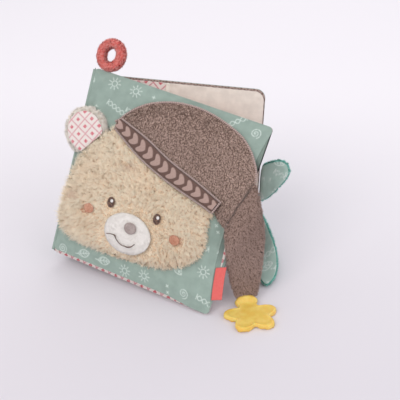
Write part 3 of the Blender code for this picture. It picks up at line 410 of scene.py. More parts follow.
def pile(name, source, body, look, comb, length_at=None, sink=0.2 * MM, inked=None):
    """Covers a mesh with fibres in tufts; comb is the way that they lie, or gives it at each place."""
    count, length, width, lean_deg, loose, tuft, gather, seed = PILES[name]
    length, width, tuft = length * MM, width * MM, tuft * MM
    rng = np.random.default_rng(seed)
    roots, up, area = scatter(source, count, rng)
    scale = np.ones(count) if length_at is None else length_at(roots, up)
    kept = scale > LEAST_FIBRE
    roots, up, scale = roots[kept], up[kept], scale[kept]
    total = len(roots)
    heads = rng.choice(total, size=max(int(area / 2 / tuft**2 * total / count), 3), replace=False)
    tree = kdtree.KDTree(len(heads))
    for order, head in enumerate(heads):
        tree.insert(roots[head], order)
    tree.balance()
    owner = np.array([tree.find(root)[1] for root in roots])
    inward = roots[heads[owner]] - roots
    apart = np.clip(lengths(inward) / tuft, 0, 1)

    # A fibre leans as it is combed, as its tuft does, toward the tuft's middle, and a little at random
    way = rng.normal(size=(len(heads), 3))[owner] * loose * 1.4
    combed = comb(roots, up) if callable(comb) else comb
    lie = combed + way + inward / tuft * gather * 1.6 + rng.normal(size=(total, 3)) * loose * 0.7
    lie = unit(lie - up * (lie * up).sum(1, keepdims=True))
    lean = np.radians(lean_deg) + rng.normal(size=len(heads))[owner] * 0.2 + rng.normal(size=total) * 0.16
    lean = np.clip(lean, 0.1, 1.4)[:, None]
    ahead = up * np.cos(lean) + lie * np.sin(lean)
    reach = length * scale * rng.uniform(0.8, 1.2, total) * rng.uniform(0.8, 1.15, len(heads))[owner]
    reach = (reach * (1 - 0.3 * apart))[:, None]
    side = unit(np.cross(ahead, up) + rng.normal(size=(total, 3)) * 0.25)
    facing = (np.cross(side, ahead) * up).sum(1, keepdims=True)
    side = np.where(facing > 0, side, -side) * width / 2
    start = roots - up * sink
    middle = start + ahead * reach * 0.55
    tip_way = unit(ahead + lie * 0.25 + inward / tuft * gather * 0.5 + rng.normal(size=(total, 3)) * 0.12)
    end = middle + tip_way * reach * 0.5
    coords = np.stack((start - side, start + side, middle + side * 0.8, middle - side * 0.8, end), axis=1)
    base = np.arange(total)[:, None] * 5
    made = build_mesh(name, coords.reshape(-1, 3), base + np.array((0, 1, 2, 3)), base + np.array((3, 2, 4)))
    give(made, "tip", np.tile((0, 0, 0.6, 0.6, 1), total))
    # Each tuft and fibre gets a random tone, and painted shade darkens fibres toward a tuft's rim
    tuft_tone_and_shade = rng.uniform(0.3, 0.75, len(heads))[owner] + 0.35 * (0.5 - apart) + rng.uniform(-0.15, 0.15, total)
    tuft_tone_and_shade += 0.22 * noise(roots, 17 * MM, seed + 4)
    give(made, "tuft", np.repeat(np.clip(tuft_tone_and_shade, 0, 1), 5))
    if inked is not None:
        give(made, "ink", np.repeat(inked(roots, rng), 5))
    shade = unit(up * 0.85 + ahead * 0.35)
    made.data.normals_split_custom_set_from_vertices(np.repeat(shade, 5, axis=0).tolist())
    return finish(made, body, look)


def finish(piece, body, look, slot=None, replaces="", fill=None):
    """Gives a piece its look and its body, only bakes its place when it gets a bend's bodies, and hides the
    solids that it stands for; slot is not used.
    """
    piece.data.materials.clear()
    piece.data.materials.append(LOOKS[look])
    if isinstance(body, str):
        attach(piece, body)
    else:
        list(body)
        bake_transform(piece)
    if replaces:
        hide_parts(*replaces.split())
    return piece


# Materials

class Nodes:
    """Builds a node material line by line."""

    def __init__(self, name, rough, specular, sheen=0.0, sheen_rough=0.5):
        self.material = bpy.data.materials.new(name)
        self.material.use_nodes = True
        self.tree = self.material.node_tree
        self.shader = self.tree.nodes["Principled BSDF"]
        self.set(Roughness=rough, Specular_IOR_Level=specular, Sheen_Weight=sheen, Sheen_Roughness=sheen_rough)

    def put(self, socket, value):
        """Links a socket or sets its constant, which may be a colour or its hex code."""
        if isinstance(value, bpy.types.NodeSocket):
            self.tree.links.new(value, socket)
            return
        value = linear(value) if isinstance(value, str) else value
        socket.default_value = (*value, 1) if isinstance(value, tuple) else value

    def set(self, **inputs):
        """Links or sets the shader's inputs."""
        for key, value in inputs.items():
            self.put(self.shader.inputs[key.replace("_", " ")], value)

    def add(self, kind, settings=None, **inputs):
        """Adds a node; its inputs are named, or numbered after an i."""
        made = self.tree.nodes.new(kind)
        for key, value in (settings or {}).items():
            setattr(made, key, value)
        for key, value in inputs.items():
            numbered = key[0] == "i" and key[1:].isdigit()
            self.put(made.inputs[int(key[1:]) if numbered else key.replace("_", " ")], value)
        return made

    def math(self, operation, first, second=0.0):
        """Adds a math node and returns its value; MULTIPLY_ADD adds a half."""
        return self.add("ShaderNodeMath", {"operation": operation}, i0=first, i1=second).outputs[0]

    def value(self, name):
        """Reads a value stored at the vertices."""
        return self.add("ShaderNodeAttribute", {"attribute_name": name}).outputs["Fac"]

    def place(self):
        """Reads the place on the flat pattern, stored at the vertices."""
        return self.add("ShaderNodeAttribute", {"attribute_name": "cloth"}).outputs["Vector"]

    def own(self):
        """Reads the piece's own coordinates."""
        return self.add("ShaderNodeTexCoord").outputs["Object"]

    def axes(self, vector):
        """Splits a vector."""
        return self.add("ShaderNodeSeparateXYZ", Vector=vector).outputs

    def turned(self, vector, kind, degrees):
        """Turns a vector about one axis and splits it."""
        return self.axes(self.add("ShaderNodeVectorRotate", {"rotation_type": kind}, Vector=vector,
                                  Angle=math.radians(degrees)).outputs[0])

    def mix(self, share, first, second):
        """Mixes two colours."""
        return self.add("ShaderNodeMix", {"data_type": "RGBA"}, i0=share, i6=first, i7=second).outputs[2]

    def ramp(self, share, low, high):
        """Rescales a value from low..high to 0..1, with soft ends."""
        return self.add("ShaderNodeMapRange", {"interpolation_type": "SMOOTHSTEP"}, Value=share, From_Min=low,
                        From_Max=high).outputs[0]

    def cloud(self, place, size, detail=3.0):
        """Adds noise with features of that size in metres."""
        return self.add("ShaderNodeTexNoise", Vector=place, Scale=1 / size, Detail=detail).outputs["Fac"]

    def cell(self, value, pitch):
        """Returns how far a value lies from the middle of its cell, as a share of the pitch."""
        share = self.math("FRACT", self.math("MULTIPLY", value, 1 / pitch))
        return self.math("ABSOLUTE", self.math("SUBTRACT", share, 0.5))

    def weave(self, place, thread=0.42 * MM):
        """Returns the height of a plain weave whose threads lie that far apart."""
        axes = self.axes(place)
        waves = [self.math("SINE", self.math("MULTIPLY", axes[index], math.pi / thread)) for index in (0, 1)]
        return self.math("MULTIPLY_ADD", self.math("MULTIPLY", *waves), 0.5)

    def bump(self, height, distance, strength=0.9):
        """Links a height to the shader's normal and returns the material."""
        made = self.add("ShaderNodeBump", Height=height, Distance=distance, Strength=strength)
        self.set(Normal=made.outputs[0])
        return self.material

    def cloth(self, base, cloud, weave):
        """Gives the colour and the relief of woven cotton."""
        self.set(Base_Color=base)
        return self.bump(self.math("ADD", weave, self.math("MULTIPLY", cloud, 0.6)), 0.06 * MM, 0.7)


def linear(code, share=1.0):
    """Turns a hex colour code into linear colour, darkened or lightened by a share."""
    values = (int(code[start:start + 2], 16) / 255 for start in (0, 2, 4))
    return tuple(min(((x + 0.055) / 1.055)**2.4 * share, 1) for x in values)


def cotton_look(name, colour, ink=None, thread=0.42 * MM):
    """Woven cotton with faint mottling and, where ink is given, a print stored at the vertices."""
    made = Nodes(name, 0.88, 0.25, 0.12)
    place = made.place()
    cloud, weave = made.cloud(place, 9 * MM, 4), made.weave(place, thread)
    base = made.mix(made.ramp(cloud, 0.3, 0.7), linear(colour, 0.92), linear(colour, 1.06))
    base = made.mix(made.math("MULTIPLY", weave, 0.10), base, linear(colour, 0.8))
    if ink:
        worn = made.math("MULTIPLY", made.value("ink"), made.ramp(made.cloud(place, 1.1 * MM, 2), 0.2, 0.55))
        base = made.mix(worn, base, ink)
    return made.cloth(base, cloud, weave)


def diamond_look(name, pitch, ground, line, centre, turn_deg=45.0):
    """Cotton printed with a lattice of diamonds, each with a small square in its middle."""
    made = Nodes(name, 0.88, 0.25, 0.1)
    place = made.place()
    axes = made.turned(place, "Z_AXIS", turn_deg)
    far = made.math("MAXIMUM", made.cell(axes[0], pitch), made.cell(axes[1], pitch))
    cloud, speck = made.cloud(place, 7 * MM), made.ramp(made.cloud(place, 0.9 * MM, 2), 0.25, 0.5)
    base = made.mix(cloud, linear(ground, 0.92), ground)
    base = made.mix(made.math("MULTIPLY", made.ramp(far, 0.425, 0.455), speck), base, line)
    in_centre = made.math("SUBTRACT", 1.0, made.ramp(far, 0.13, 0.17))
    base = made.mix(made.math("MULTIPLY", in_centre, speck), base, centre)
    return made.cloth(base, cloud, made.weave(place))


def chevron_look(name, pitch, dark, light):
    """Brown cotton printed with rows of chevrons."""
    made = Nodes(name, 0.88, 0.25, 0.1)
    place = made.place()
    axes, cloud = made.axes(place), made.cloud(place, 6 * MM)
    zigzag = made.math("MULTIPLY", made.cell(axes[0], pitch), 1.6)
    row = made.math("FRACT", made.math("ADD", made.math("MULTIPLY", axes[1], 1 / pitch), zigzag))
    on_line = made.ramp(made.math("ABSOLUTE", made.math("SUBTRACT", row, 0.5)), 0.30, 0.24)
    base = made.mix(made.math("MULTIPLY", on_line, made.ramp(cloud, 0.1, 0.6)), dark, light)
    return made.cloth(base, cloud, made.weave(place))


def fibre_look(name, root, light, dark, sheen=0.25, ink=None):
    """Plush fibres with painted shade: darker at the root and between tufts."""
    made = Nodes(name, 0.95, 0.15, sheen, 0.4)
    # The tuft value holds random tone and painted shade between tufts
    body = made.mix(made.value("tuft"), dark, light)
    # The ink value marks the rust cheek stitches and the painted shade in two creases
    if ink:
        body = made.mix(made.value("ink"), body, ink)
    # Painted shade: the root colour darkens each fibre's lower part
    made.set(Base_Color=made.mix(made.ramp(made.value("tip"), 0.0, 0.7), root, body))
    return made.material


def skin_look(name, colour, size=1 * MM):
    """The backing under a pile."""
    made = Nodes(name, 0.95, 0.1)
    cloud = made.cloud(made.own(), size)
    made.set(Base_Color=made.mix(made.ramp(cloud, 0.3, 0.7), linear(colour, 0.6), colour))
    return made.bump(cloud, 0.5 * MM)


def velvet_look(name, light, dark, size=0.7 * MM):
    """Short velvet or satin stitching, seen as a fine grain."""
    made = Nodes(name, 0.85, 0.2, 0.25, 0.4)
    fine, broad = made.cloud(made.own(), size, 4), made.cloud(made.own(), size * 9, 2)
    grain = made.math("ADD", made.math("MULTIPLY", fine, 0.7), made.math("MULTIPLY", broad, 0.3))
    made.set(Base_Color=made.mix(made.ramp(grain, 0.35, 0.62), dark, light))
    return made.bump(fine, 0.12 * MM)


def thread_look(name, light, dark):
    """Satin stitches that lie side by side."""
    made = Nodes(name, 0.5, 0.35, 0.2)
    axes = made.turned(made.own(), "Y_AXIS", 20)
    wave = made.math("SINE", made.math("MULTIPLY", axes[0], math.tau / (0.45 * MM)))
    cloud = made.cloud(made.own(), 0.8 * MM)
    made.set(Base_Color=made.mix(made.ramp(cloud, 0.42, 0.7), dark, light))
    return made.bump(made.math("ADD", made.math("MULTIPLY_ADD", wave, 0.25), cloud), 0.10 * MM)


def rope_look(name, light, dark):
    """Twisted cord: strands wind round it, with painted light on their crests and painted shade in the grooves.
    """
    made = Nodes(name, 0.7, 0.3, 0.2)
    axes = made.axes(made.place())
    turn = made.math("ADD", made.math("MULTIPLY", axes[0], math.tau / (1.6 * MM)),
                     made.math("MULTIPLY", axes[1], 1 / CORD_RADIUS))
    wave = made.math("MULTIPLY", made.math("ADD", made.math("SINE", turn), 1.0), 0.5)
    # Painted light and shade: the colour follows the wave of the relief
    made.set(Base_Color=made.mix(wave, dark, light))
    return made.bump(wave, 0.35 * MM, 1.0)


def knit_look():
    """Taupe knit: pale raised chevrons on a dark ground."""
    made = Nodes("band_cloth", 0.9, 0.2, 0.3, 0.4)
    cloud = made.cloud(made.own(), 0.7 * MM, 4)
    dark = made.mix(cloud, "56423b", "7a625a")
    light = made.mix(cloud, "967d74", "bea49a")
    made.set(Base_Color=made.mix(made.value("relief"), dark, light))
    return made.bump(cloud, 0.15 * MM)


def rubber_look():
    """Moulded yellow rubber: a soft gloss, faint mottling, and painted shade, a darker orange, towards its
    bottom.
    """
    made = Nodes("yellow_rubber", 0.42, 0.4)
    made.set(Subsurface_Weight=0.25, Subsurface_Scale=0.004)
    # Painted shade: the star's lower parts, near the floor, turn darker orange
    low = made.ramp(made.axes(made.own())[2], 2.6 * MM, 0.2 * MM)
    base = made.mix(made.ramp(made.cloud(made.own(), 6 * MM), 0.3, 0.7), "e8c258", "f0d274")
    made.set(Base_Color=made.mix(made.math("MULTIPLY", low, 0.6), base, "e09c3e"))
    return made.bump(made.cloud(made.own(), 0.7 * MM, 2), 0.03 * MM, 0.5)


def ribbon_look():
    """Coral satin ribbon with fine ribs."""
    made = Nodes("coral_ribbon", 0.5, 0.35, 0.3)
    rib = made.math("SINE", made.math("MULTIPLY", made.axes(made.place())[1], math.tau / (0.5 * MM)))
    cloud = made.cloud(made.place(), 2 * MM)
    made.set(Base_Color=made.mix(cloud, "de5c58", "ec726b"))
    return made.bump(made.math("ADD", rib, cloud), 0.05 * MM, 0.8)


LOOKS = {
    "mint": cotton_look("mint_printed_cotton", "96a89e", "cddad2"),
    # Painted light: a lighter copy of the mint cotton for the fins
    "fin_mint_painted_light": cotton_look("mint_cotton_painted_lighter", "aac2b8", "d4e0da"),
    "cream_cloth": cotton_look("cream_cotton", "e2d7cc"),
    "binding": cotton_look("cream_binding", "ece4d8", thread=0.35 * MM),
    "diamond": diamond_look("diamond_cotton", 9.4 * MM, "e8ddd6", "cb8a90", "c45862"),
    "ear_diamond": diamond_look("ear_cotton", 8.8 * MM, "e8ded8", "d4a0a4",
                                "ce707a", 63.0),
    "chevron": chevron_look("chevron_cotton", 5.5 * MM, "766058", "baa49b"),
    # The ink colour is the rust of the cheeks, also used as painted shade in two creases
    "cream_fur": fibre_look("cream_pile", "fad8b5", "fff5de", "ffe7c8",
                            ink="c68e72"),
    "ear_fur": fibre_look("ear_pile", "f2e2d0", "fffaf0", "faefe2"),
    "cream_skin": skin_look("cream_backing", "f2d4b2", 1.5 * MM),
    "white_velvet": velvet_look("white_velvet", "f0ece7", "e8e3dd", 0.9 * MM),
    "white_fur": fibre_look("white_pile", "e8e3dd", "f4f0eb", "efebe6"),
    "grey_thread": velvet_look("grey_stitching", "b0a39e", "8c7e7a"),
    "dark_thread": thread_look("dark_stitching", "96705c", "3a2822"),
    "white_thread": thread_look("white_stitching", "fcfaf8", "d7d2ce"),
    "rust": velvet_look("rust_stitching", "cc9e86", "a86e56", 0.8 * MM),
    "taupe_fur": fibre_look("taupe_pile", "987f74", "e0c4b6", "bca195", 0.3),
    # Painted shade: a darker copy of the taupe pile for the hanging tail
    "tail_fur": fibre_look("tail_pile_painted_shade", "8a7167", "ccb0a4", "a88d82", 0.3),
    "taupe_skin": skin_look("taupe_backing", "80695f"),
    "knit": knit_look(),
    "piping": rope_look("pale_cord", "ceb8b2", "8c746c"),
    "teal_fur": fibre_look("teal_pile", "68baaa", "a8eee0", "84d6c6"),
    "teal_skin": skin_look("teal_backing", "64b4a4"),
    "coral_fur": fibre_look("coral_loops", "ff746e", "ffb4aa", "ff928a", 0.4),
    "coral_skin": skin_look("coral_backing", "f6706a"),
    "rubber": rubber_look(),
    "ribbon": ribbon_look(),
}


# Print: small line motifs in millimetres, in a loose layout

def line(x, y):
    """Returns a line's points from their coordinates."""
    return np.column_stack(np.broadcast_arrays(x, y))


def braid():
    """Returns two waves that cross, with a short bar at each end."""
    x = np.linspace(-13, 13, 60)
    wave = 1.9 * np.sin(x * 0.72)
    return [line(x, wave), line(x, -wave)] + [line(end, (-2.2, 2.2)) for end in (-13.6, 13.6)]


def leaf_outline():
    """Returns a pointed leaf with a midrib and veins, 15 mm long."""
    share = np.linspace(0, 1, 16)
    belly = 3.4 * np.sin(share * math.pi)**0.8
    lines = [line(-6 + 12 * share, belly), line(-6 + 12 * share, -belly), line((-9, -6, 5), (-0.6, 0, 0))]
    return lines + [line((root - 1.2, root + 0.6), (0, tip)) for root in (-3, 0.2, 3.2) for tip in (-2.1, 2.1)]


def curl():
    """Returns a spiral of a little over two turns."""
    share = np.linspace(0.06, 1, 46)
    turn = share * 2.2 * math.tau
    return [line(np.cos(turn) * 4.4 * share, np.sin(turn) * 4.4 * share)]


def plus():
    """Returns two small plus signs."""
    middles, bar = ((-2, -1.5), (2.4, 2)), np.array((-1.3, 1.3))
    return [line(x + bar, y) for x, y in middles] + [line(x, y + bar) for x, y in middles]


def sun():
    """Returns a ring with short rays."""
    turns = np.arange(15) / 14 * math.tau
    return [line(np.cos(turns) * 2.3, np.sin(turns) * 2.3)] + [
        np.outer((3.4, 5.2), heading(40 * step)[:2]) for step in range(9)]


MOTIFS = (leaf_outline, curl, braid, plus, sun, leaf_outline, plus, braid, curl, sun)
MOTIF_REACH, LINE_HALF, LINE_SOFT = 15 * MM, 0.16 * MM, 0.42 * MM


def print_ink(across, down, width, height, seed, pitch=21 * MM):
    """Returns how much print ink lies at each place of a cloth."""
    places = np.stack((across, down), axis=1)
    ink = np.zeros(len(places))
    rng = np.random.default_rng(seed)
    for row in range(int(height / pitch) + 1):
        for column in range(int(width / pitch) + 1):
            shift = rng.uniform(-0.16, 0.16, 2)
            middle = (np.array((column + 0.5 * (row % 2), row + 0.5)) + shift) * pitch
            turn = rng.uniform(-0.8, 0.8)
            near = np.flatnonzero(np.abs(places - middle).max(1) < MOTIF_REACH)
            if not len(near):
                continue
            spin = np.array(((math.cos(turn), math.sin(turn)), (-math.sin(turn), math.cos(turn))))
            offset = places[near] - middle
            best = np.full(len(near), 1.0)
            for strokes in MOTIFS[(row * 3 + column * 4 + column // 2) % len(MOTIFS)]():
                strokes = strokes @ spin * MM
                for start, end in zip(strokes[:-1], strokes[1:]):
                    run = end - start
                    share = np.clip((offset - start) @ run / (run @ run), 0, 1)
                    best = np.minimum(best, lengths(offset - start - share[:, None] * run))
            ink[near] = np.maximum(ink[near], 1 - ease((best - LINE_HALF) / LINE_SOFT))
    return ink


# Leaves as padded pieces

def steps(length, size):
    """Returns shares from 0 to 1 at about that spacing, closer at the rims."""
    shares = np.linspace(0, 1, int(length / size) + 1)
    rim = np.array((0.002, 0.005, 0.009))
    return np.unique(np.concatenate((shares, rim, 1 - rim)))


def leaf_piece(name, leaf, facing, size, seed, us=None, short=0.0, proud=0.0, hem=0.0, inked=False):
    """Makes half of a padded leaf, from its middle to its front, or to its back where facing is -1."""
    def trim_at(u):
        return short * (1 - ease((u - 0.72) / 0.2))

    def place(u, v):
        rest, _, _ = leaf.spot(u, v, 0.0, trim_at(u))
        turned = hem * ease((v * leaf.height - leaf.height + 6 * MM) / (3 * MM))
        out = leaf.swell(rest, u, v, seed) + proud + turned
        return leaf.spot(u, v, leaf.middle + facing * out, trim_at(u))[0]

    def back(u, v):
        return leaf.spot(u, v, leaf.middle + facing * 0.02 * MM, trim_at(u))[0]

    us = steps(leaf.width, size) if us is None else us
    made, u, v, rim = slab(name, place, back, us, steps(leaf.height, size))
    _, across, down = leaf.spot(u, v, 0.0, trim_at(u))
    cloth = pattern(across, down)
    turned_in = pattern(u[rim] - 0.5, v[rim] - 0.5) * EDGE_HALF * 2
    give(made, "cloth", np.concatenate((cloth, cloth[rim] + turned_in)))
    if inked:
        ink = print_ink(across, down, leaf.width, leaf.height, seed)
        give(made, "ink", np.concatenate((ink, ink[rim])))
    return made


def build_leaves():
    """Makes both covers and the page from padded cloth halves."""
    strip_end, cream_start = STRIP_WIDTH / PAGE_WIDTH, (STRIP_WIDTH + BINDING_WIDTH) / PAGE_WIDTH
    shares = steps(PAGE_WIDTH, 1.2 * MM)
    strip = {"us": np.r_[shares[shares < strip_end - 0.004], strip_end]}
    cream = {"us": np.r_[cream_start, shares[shares > cream_start + 0.004]]}
    tape = {"us": np.linspace(strip_end - 0.002, cream_start + 0.002, 5), "proud": 0.45 * MM}
    for name, leaf, facing, size, seed, options, look, slot, fill, replaces in (
        ("cover_face", COVER, 1, 0.5, 3, {"short": COVER_HEM, "inked": True}, "mint", "mint_cotton", 0.55,
         "front_cover_outer front_cover_wadding front_cover_crinkle_film"),
        ("cover_lining", COVER, -1, 1.2, 11, {}, "diamond", "diamond_cotton", 0.55, "front_cover_lining"),
        ("page_strip", PAGE, 1, 1.2, 17, strip, "diamond", "diamond_cotton", 0.5,
         "page_diamond_strip page_wadding"),
        ("page_cream", PAGE, 1, 1.2, 17, cream, "cream_cloth", "cream_cotton", 0.5,
         "page_cream_panel page_crinkle_film"),
        ("page_binding_tape", PAGE, 1, 1.2, 17, tape, "binding", "cream_cotton", 0.2, "page_binding"),
        ("page_rear", PAGE, -1, 1.4, 23, {}, "chevron", "brown_cotton", 0.5, "page_back"),
        ("back_lining", BACK, 1, 1.4, 29, {}, "chevron", "brown_cotton", 0.5,
         "back_cover_lining back_cover_wadding back_cover_crinkle_film"),
        ("back_face", BACK, -1, 0.5, 37, {"inked": True, "hem": 1.2 * MM}, "mint", "mint_cotton", 0.5,
         "back_cover_outer"),
    ):
        half = leaf_piece(name, leaf, facing, size * MM, seed, **options)
        finish(half, leaf.body, look, slot, replaces, fill)


def build_spine():
    """Rolls the cloth over both lines that the leaves turn on, so that no gap opens there."""
    share = np.linspace(0.01, 0.99, 60)
    cover_line = COVER.point(0.0, share * COVER_HEIGHT)
    page_line = PAGE.point(0.0, share * PAGE_HEIGHT, -2 * PAGE_HALF - LEAF_GAP / 2)
    for name, path, body, look in (("cover_spine_roll", cover_line, "page", "mint"),
                                   ("page_spine_roll", page_line, "back_cover", "chevron")):
        finish(tube(name, path, 1.5 * MM, 12), body, look)


def build_gusset():
    """Makes the stretched cloth between the front cover's spine edge and the page's."""
    us, vs = np.linspace(0, 1, 110), np.linspace(0, 1, 190)
    u, v = (side.ravel() for side in np.meshgrid(us, vs))

    def edges(v):
        cover, page = COVER.point(0.0, v * COVER_HEIGHT), PAGE.point(0.0, v * PAGE_HEIGHT, PAGE.middle)
        step = unit(page - cover) * 1.2 * MM
        return cover + step, page - step

    start, end = (edge[0] for edge in edges(np.array([0.5])))
    inward = unit(np.cross(COVER.top_left - COVER.bottom_left, end - start))
    inward = inward if inward[0] > 0 else -inward
    cover_edge, page_edge = edges(v)
    rest = cover_edge + (page_edge - cover_edge) * u[:, None]
    crumple = layered(rest, 14 * MM, 51) * 0.8 * MM * hump(u) * hump(v)
    middle = rest + inward * (14 * MM * hump(u) * hump(v) + crumple)[:, None]
    layers = [middle + inward * side * 0.45 * MM for side in (-1, 1)]
    count, faces, rim = len(middle), grid_faces(len(vs), len(us)), grid_rim(len(vs), len(us))
    made = build_mesh("spine_cloth", np.concatenate(layers), faces, faces + count, between(rim, rim + count))
    outward(made.data)
    wide = lengths(page_edge - cover_edge)
    cloth = pattern(u * wide, v * PAGE_HEIGHT)
    give(made, "cloth", np.tile(cloth, (2, 1)))
    give(made, "ink", np.tile(print_ink(cloth[:, 0], cloth[:, 1], wide.max(), PAGE_HEIGHT, 57), 2))
    finish(made, "page", "mint", "mint_cotton", "spine_gusset")
    tris = coords_of(made)[faces]


# Bear's head

def head_offset(places):
    """Returns about how far across and down the cover places lie from the head's middle."""
    return (places - COVER.point(*HEAD_SPOT)) @ np.stack((COVER.across, COVER_DOWN), axis=1)


def comb_head(places, up):
    """Fibres lie outward from the muzzle and downward."""
    spread = unit(head_offset(places) - MUZZLE_SPOT)
    return COVER.across * (spread[:, :1] * 0.8) + COVER_DOWN * (spread[:, 1:] * 0.7 + 0.45)


def oval_share(offset, spot, half):
    """Distance from an oval's middle as a share of its rim."""
    return lengths((offset - spot) / half)


def on_front(limit):
    """Makes a length function that keeps fibres only where the surface faces out of the cover."""
    return lambda places, up: (up @ COVER.out > limit) * 1.0


def head_length(places, up):
    """Fibres are shorter round the face, none grow under the muzzle, and the eyes stay clear."""
    offset = head_offset(places)
    share = 1 + 0.45 * ease((-offset[:, 0] - 25 * MM) / (35 * MM))
    for spots, half, least, start, run, bare in (
        ([MUZZLE_SPOT], MUZZLE_HALF, 0.45, 1.0, 0.9, 0.93),
        (EYES, (3.8 * MM, 5.2 * MM), 0.35, 1.0, 1.2, 1.0),
        (CHEEKS, (5.2 * MM, 4.6 * MM), 0.3, 0.7, 1.0, 0.0),
    ):
        for spot in spots:
            near = oval_share(offset, spot, half)
            share *= least + (1 - least) * ease((near - start) / run)
            share[near < bare] = 0
    return share * on_front(-0.3)(places, up)


def cheek_rust_and_crease_shade(places, rng):
    """Rust stitches show through the pile on both cheeks, and painted shade darkens two creases."""
    offset = head_offset(places)
    ink = np.zeros(len(places))
    for cheek in CHEEKS:
        near = oval_share(offset, cheek, CHEEK_HALF)
        ink = np.maximum(ink, (near < 1.0) * (rng.random(len(places)) < 0.72))
    # Painted shade: the pile takes on part of the rust colour round two creases
    for spot, half in SHADED_CREASES:
        ink = np.maximum(ink, 0.45 * (1 - ease(oval_share(offset, spot, half))))
    return ink


def build_head():
    """Makes the head's backing and its pile."""
    skin = copy_node("head_plush", "head_skin", 2, -1.6 * MM)
    places, up = coords_of(skin), normals_of(skin)
    swell = layered(places, 18 * MM, 71) * 1.1 * MM * np.clip(up @ COVER.out, 0, 1)
    wider = ease((-head_offset(places)[:, 0] - 30 * MM) / (32 * MM)) * 2.6 * MM
    move_to(skin, places + up * swell[:, None] - COVER.across * wider[:, None])
    finish(skin, "front_cover", "cream_skin", "cream_plush", "head_plush", 0.7)
    pile("head_fur", skin, "front_cover", "cream_fur", comb_head, head_length, inked=cheek_rust_and_crease_shade)


def patch(node, name, look, slot, push=0.0, levels=2):
    """Replaces a sewn-on patch with a smooth one."""
    return finish(copy_node(node, name, levels, push), "front_cover", look, slot, node, 0.4)


def build_face():
    """Makes the muzzle, nose, eyes, cheeks and mouth."""
    muzzle = patch("muzzle", "muzzle_velvet", "white_velvet", "white_plush", levels=3)
    aside = head_offset(coords_of(muzzle))[:, 0] - MUZZLE_SPOT[0]
    move_to(muzzle, coords_of(muzzle) + COVER.across * (0.06 * aside)[:, None])
    pile("muzzle_nap", muzzle, "front_cover", "white_fur", comb_head, on_front(-0.1), 0.1 * MM)
    patch("nose", "nose_pad", "grey_thread", "grey_pile", 0.25 * MM)
    for side in ("left", "right"):
        patch(f"eye_{side}", f"eye_{side}_stitching", "dark_thread", "brown_thread", -0.15 * MM)
        patch(f"eye_glint_{side}", f"eye_{side}_glint", "white_thread", "white_thread", 0.1 * MM)
        patch(f"cheek_{side}", f"cheek_{side}_stitching", "rust", "rust_cotton", 0.1 * MM)
    places = coords_of(frame["nodes"]["mouth_stitch"])
    groups = np.array_split(places[np.argsort(head_offset(places)[:, 0])], 18)
    path = np.array([group.mean(0) for group in groups]) + COVER.out * 0.25 * MM
    run, radius = np.linspace(0, 1, 120), 0.36 * MM
    knots = np.exp(-((run - 0.3) / 0.06)**2) + np.exp(-((run - 0.8) / 0.08)**2)
    rings = radius * (0.8 + 0.2 * np.abs(np.sin(run * 14 * math.pi)) + 0.7 * knots)
    mouth = tube("mouth_thread", smooth_curve(path, run), radius, 6, rings)
    finish(mouth, "front_cover", "dark_thread", "brown_thread", "mouth_stitch")


# Cap

def cap_place(along, rise):
    """Turns places along the cap's chord and above it into across and down on the cover."""
    slope = math.radians(CAP_SLOPE_DEG)
    return (CAP_START[0] + along * math.cos(slope) + rise * math.sin(slope),
            CAP_START[1] + along * math.sin(slope) - rise * math.cos(slope))


def lower_curve(along):
    """Height above the chord of the cap's lower outline."""
    return smooth_curve(CAP_LOWER_SHARES, along / CAP_LENGTH)[..., 0] * CAP_SAG


def crown_place(u, v, out):
    """Returns places on the crown: u along the cap, v from the seam with the head to the top edge."""
    along = u * CAP_LENGTH
    beyond = ease((along - BAND_END) / (CAP_LENGTH - BAND_END) + 0.5)
    rise = lower_curve(along) + SEAM_LIFT * (1 - beyond) + SEAM_HALF
    top = smooth_curve(CROWN_TOP_SHARES, u)
    rise = rise + (top[..., 1] * CROWN_RISE - rise) * v
    along = along + (top[..., 0] * CAP_LENGTH - along) * v
    return COVER.point(*cap_place(along, rise), out)


def crown_thickness(u, v):
    """Thickness of the crown: thin at its edges, level under the band, puffed beyond it."""
    tall = lengths(crown_place(u, np.ones_like(u), 0.0) - crown_place(u, np.zeros_like(u), 0.0))
    nearest = np.minimum(np.minimum(v, 1 - v) * tall, u * CAP_LENGTH)
    seat = CROWN_EDGE + (CROWN_SEAT - CROWN_EDGE) * ease(nearest / CROWN_REACH)
    return seat + CROWN_PUFF * ease((nearest - CROWN_PUFF_START) / CROWN_REACH)


def build_crown():
    """Makes the crown with its pile and piped edge."""
    def place(u, v):
        folds = layered(crown_place(u, v, 0.0), 15 * MM, 83) * 0.9 * MM * ease(np.minimum(v, 1 - v) * 6)
        return crown_place(u, v, FACE + crown_thickness(u, v) - 0.5 * MM + folds)

    skin = slab("crown_skin", place, lambda u, v: crown_place(u, v, FACE + 0.1 * MM),
                np.linspace(0, 1, 90), np.linspace(0, 1, 50))[0]
    finish(skin, "front_cover", "taupe_skin", "taupe_plush", "cap_crown", 0.7)
    pile("crown_fur", skin, "front_cover", "taupe_fur", COVER_DOWN * 0.8 + COVER.across * 0.5, on_front(-0.2))
    along, up = np.r_[np.zeros(10), np.linspace(0, 1, 160)], np.r_[np.linspace(0, 0.9, 10), np.ones(160)]
    piping = tube("crown_piping", crown_place(along, up, FACE + CROWN_EDGE * 0.9), 0.85 * MM)
    finish(piping, "front_cover", "piping", "taupe_cord")


def band_edges(share):
    """Returns how far along the cap a cut of the band lies and how high its two edges are."""
    along = BAND_START + (BAND_END - BAND_START) * share
    top = smooth_curve(BAND_TOP_SHARES, share)[..., 0]
    return along, lower_curve(along) + 2 * CORD_RADIUS + TOUCH, top * BAND_RISE


def knit(u, v):
    """Height of the band's knitted chevrons, from 0 to 1."""
    aside = np.abs(v - 0.5)
    share = (u * 12.5 + (np.sqrt(aside**2 + 0.004) - 0.06) * 1.15) % 1
    rounded = 0.34 * np.sqrt(np.clip(1 - (aside / 0.4)**4, 0, 1))
    return ease((rounded - np.abs(share - 0.5)) / 0.09 + 0.4)


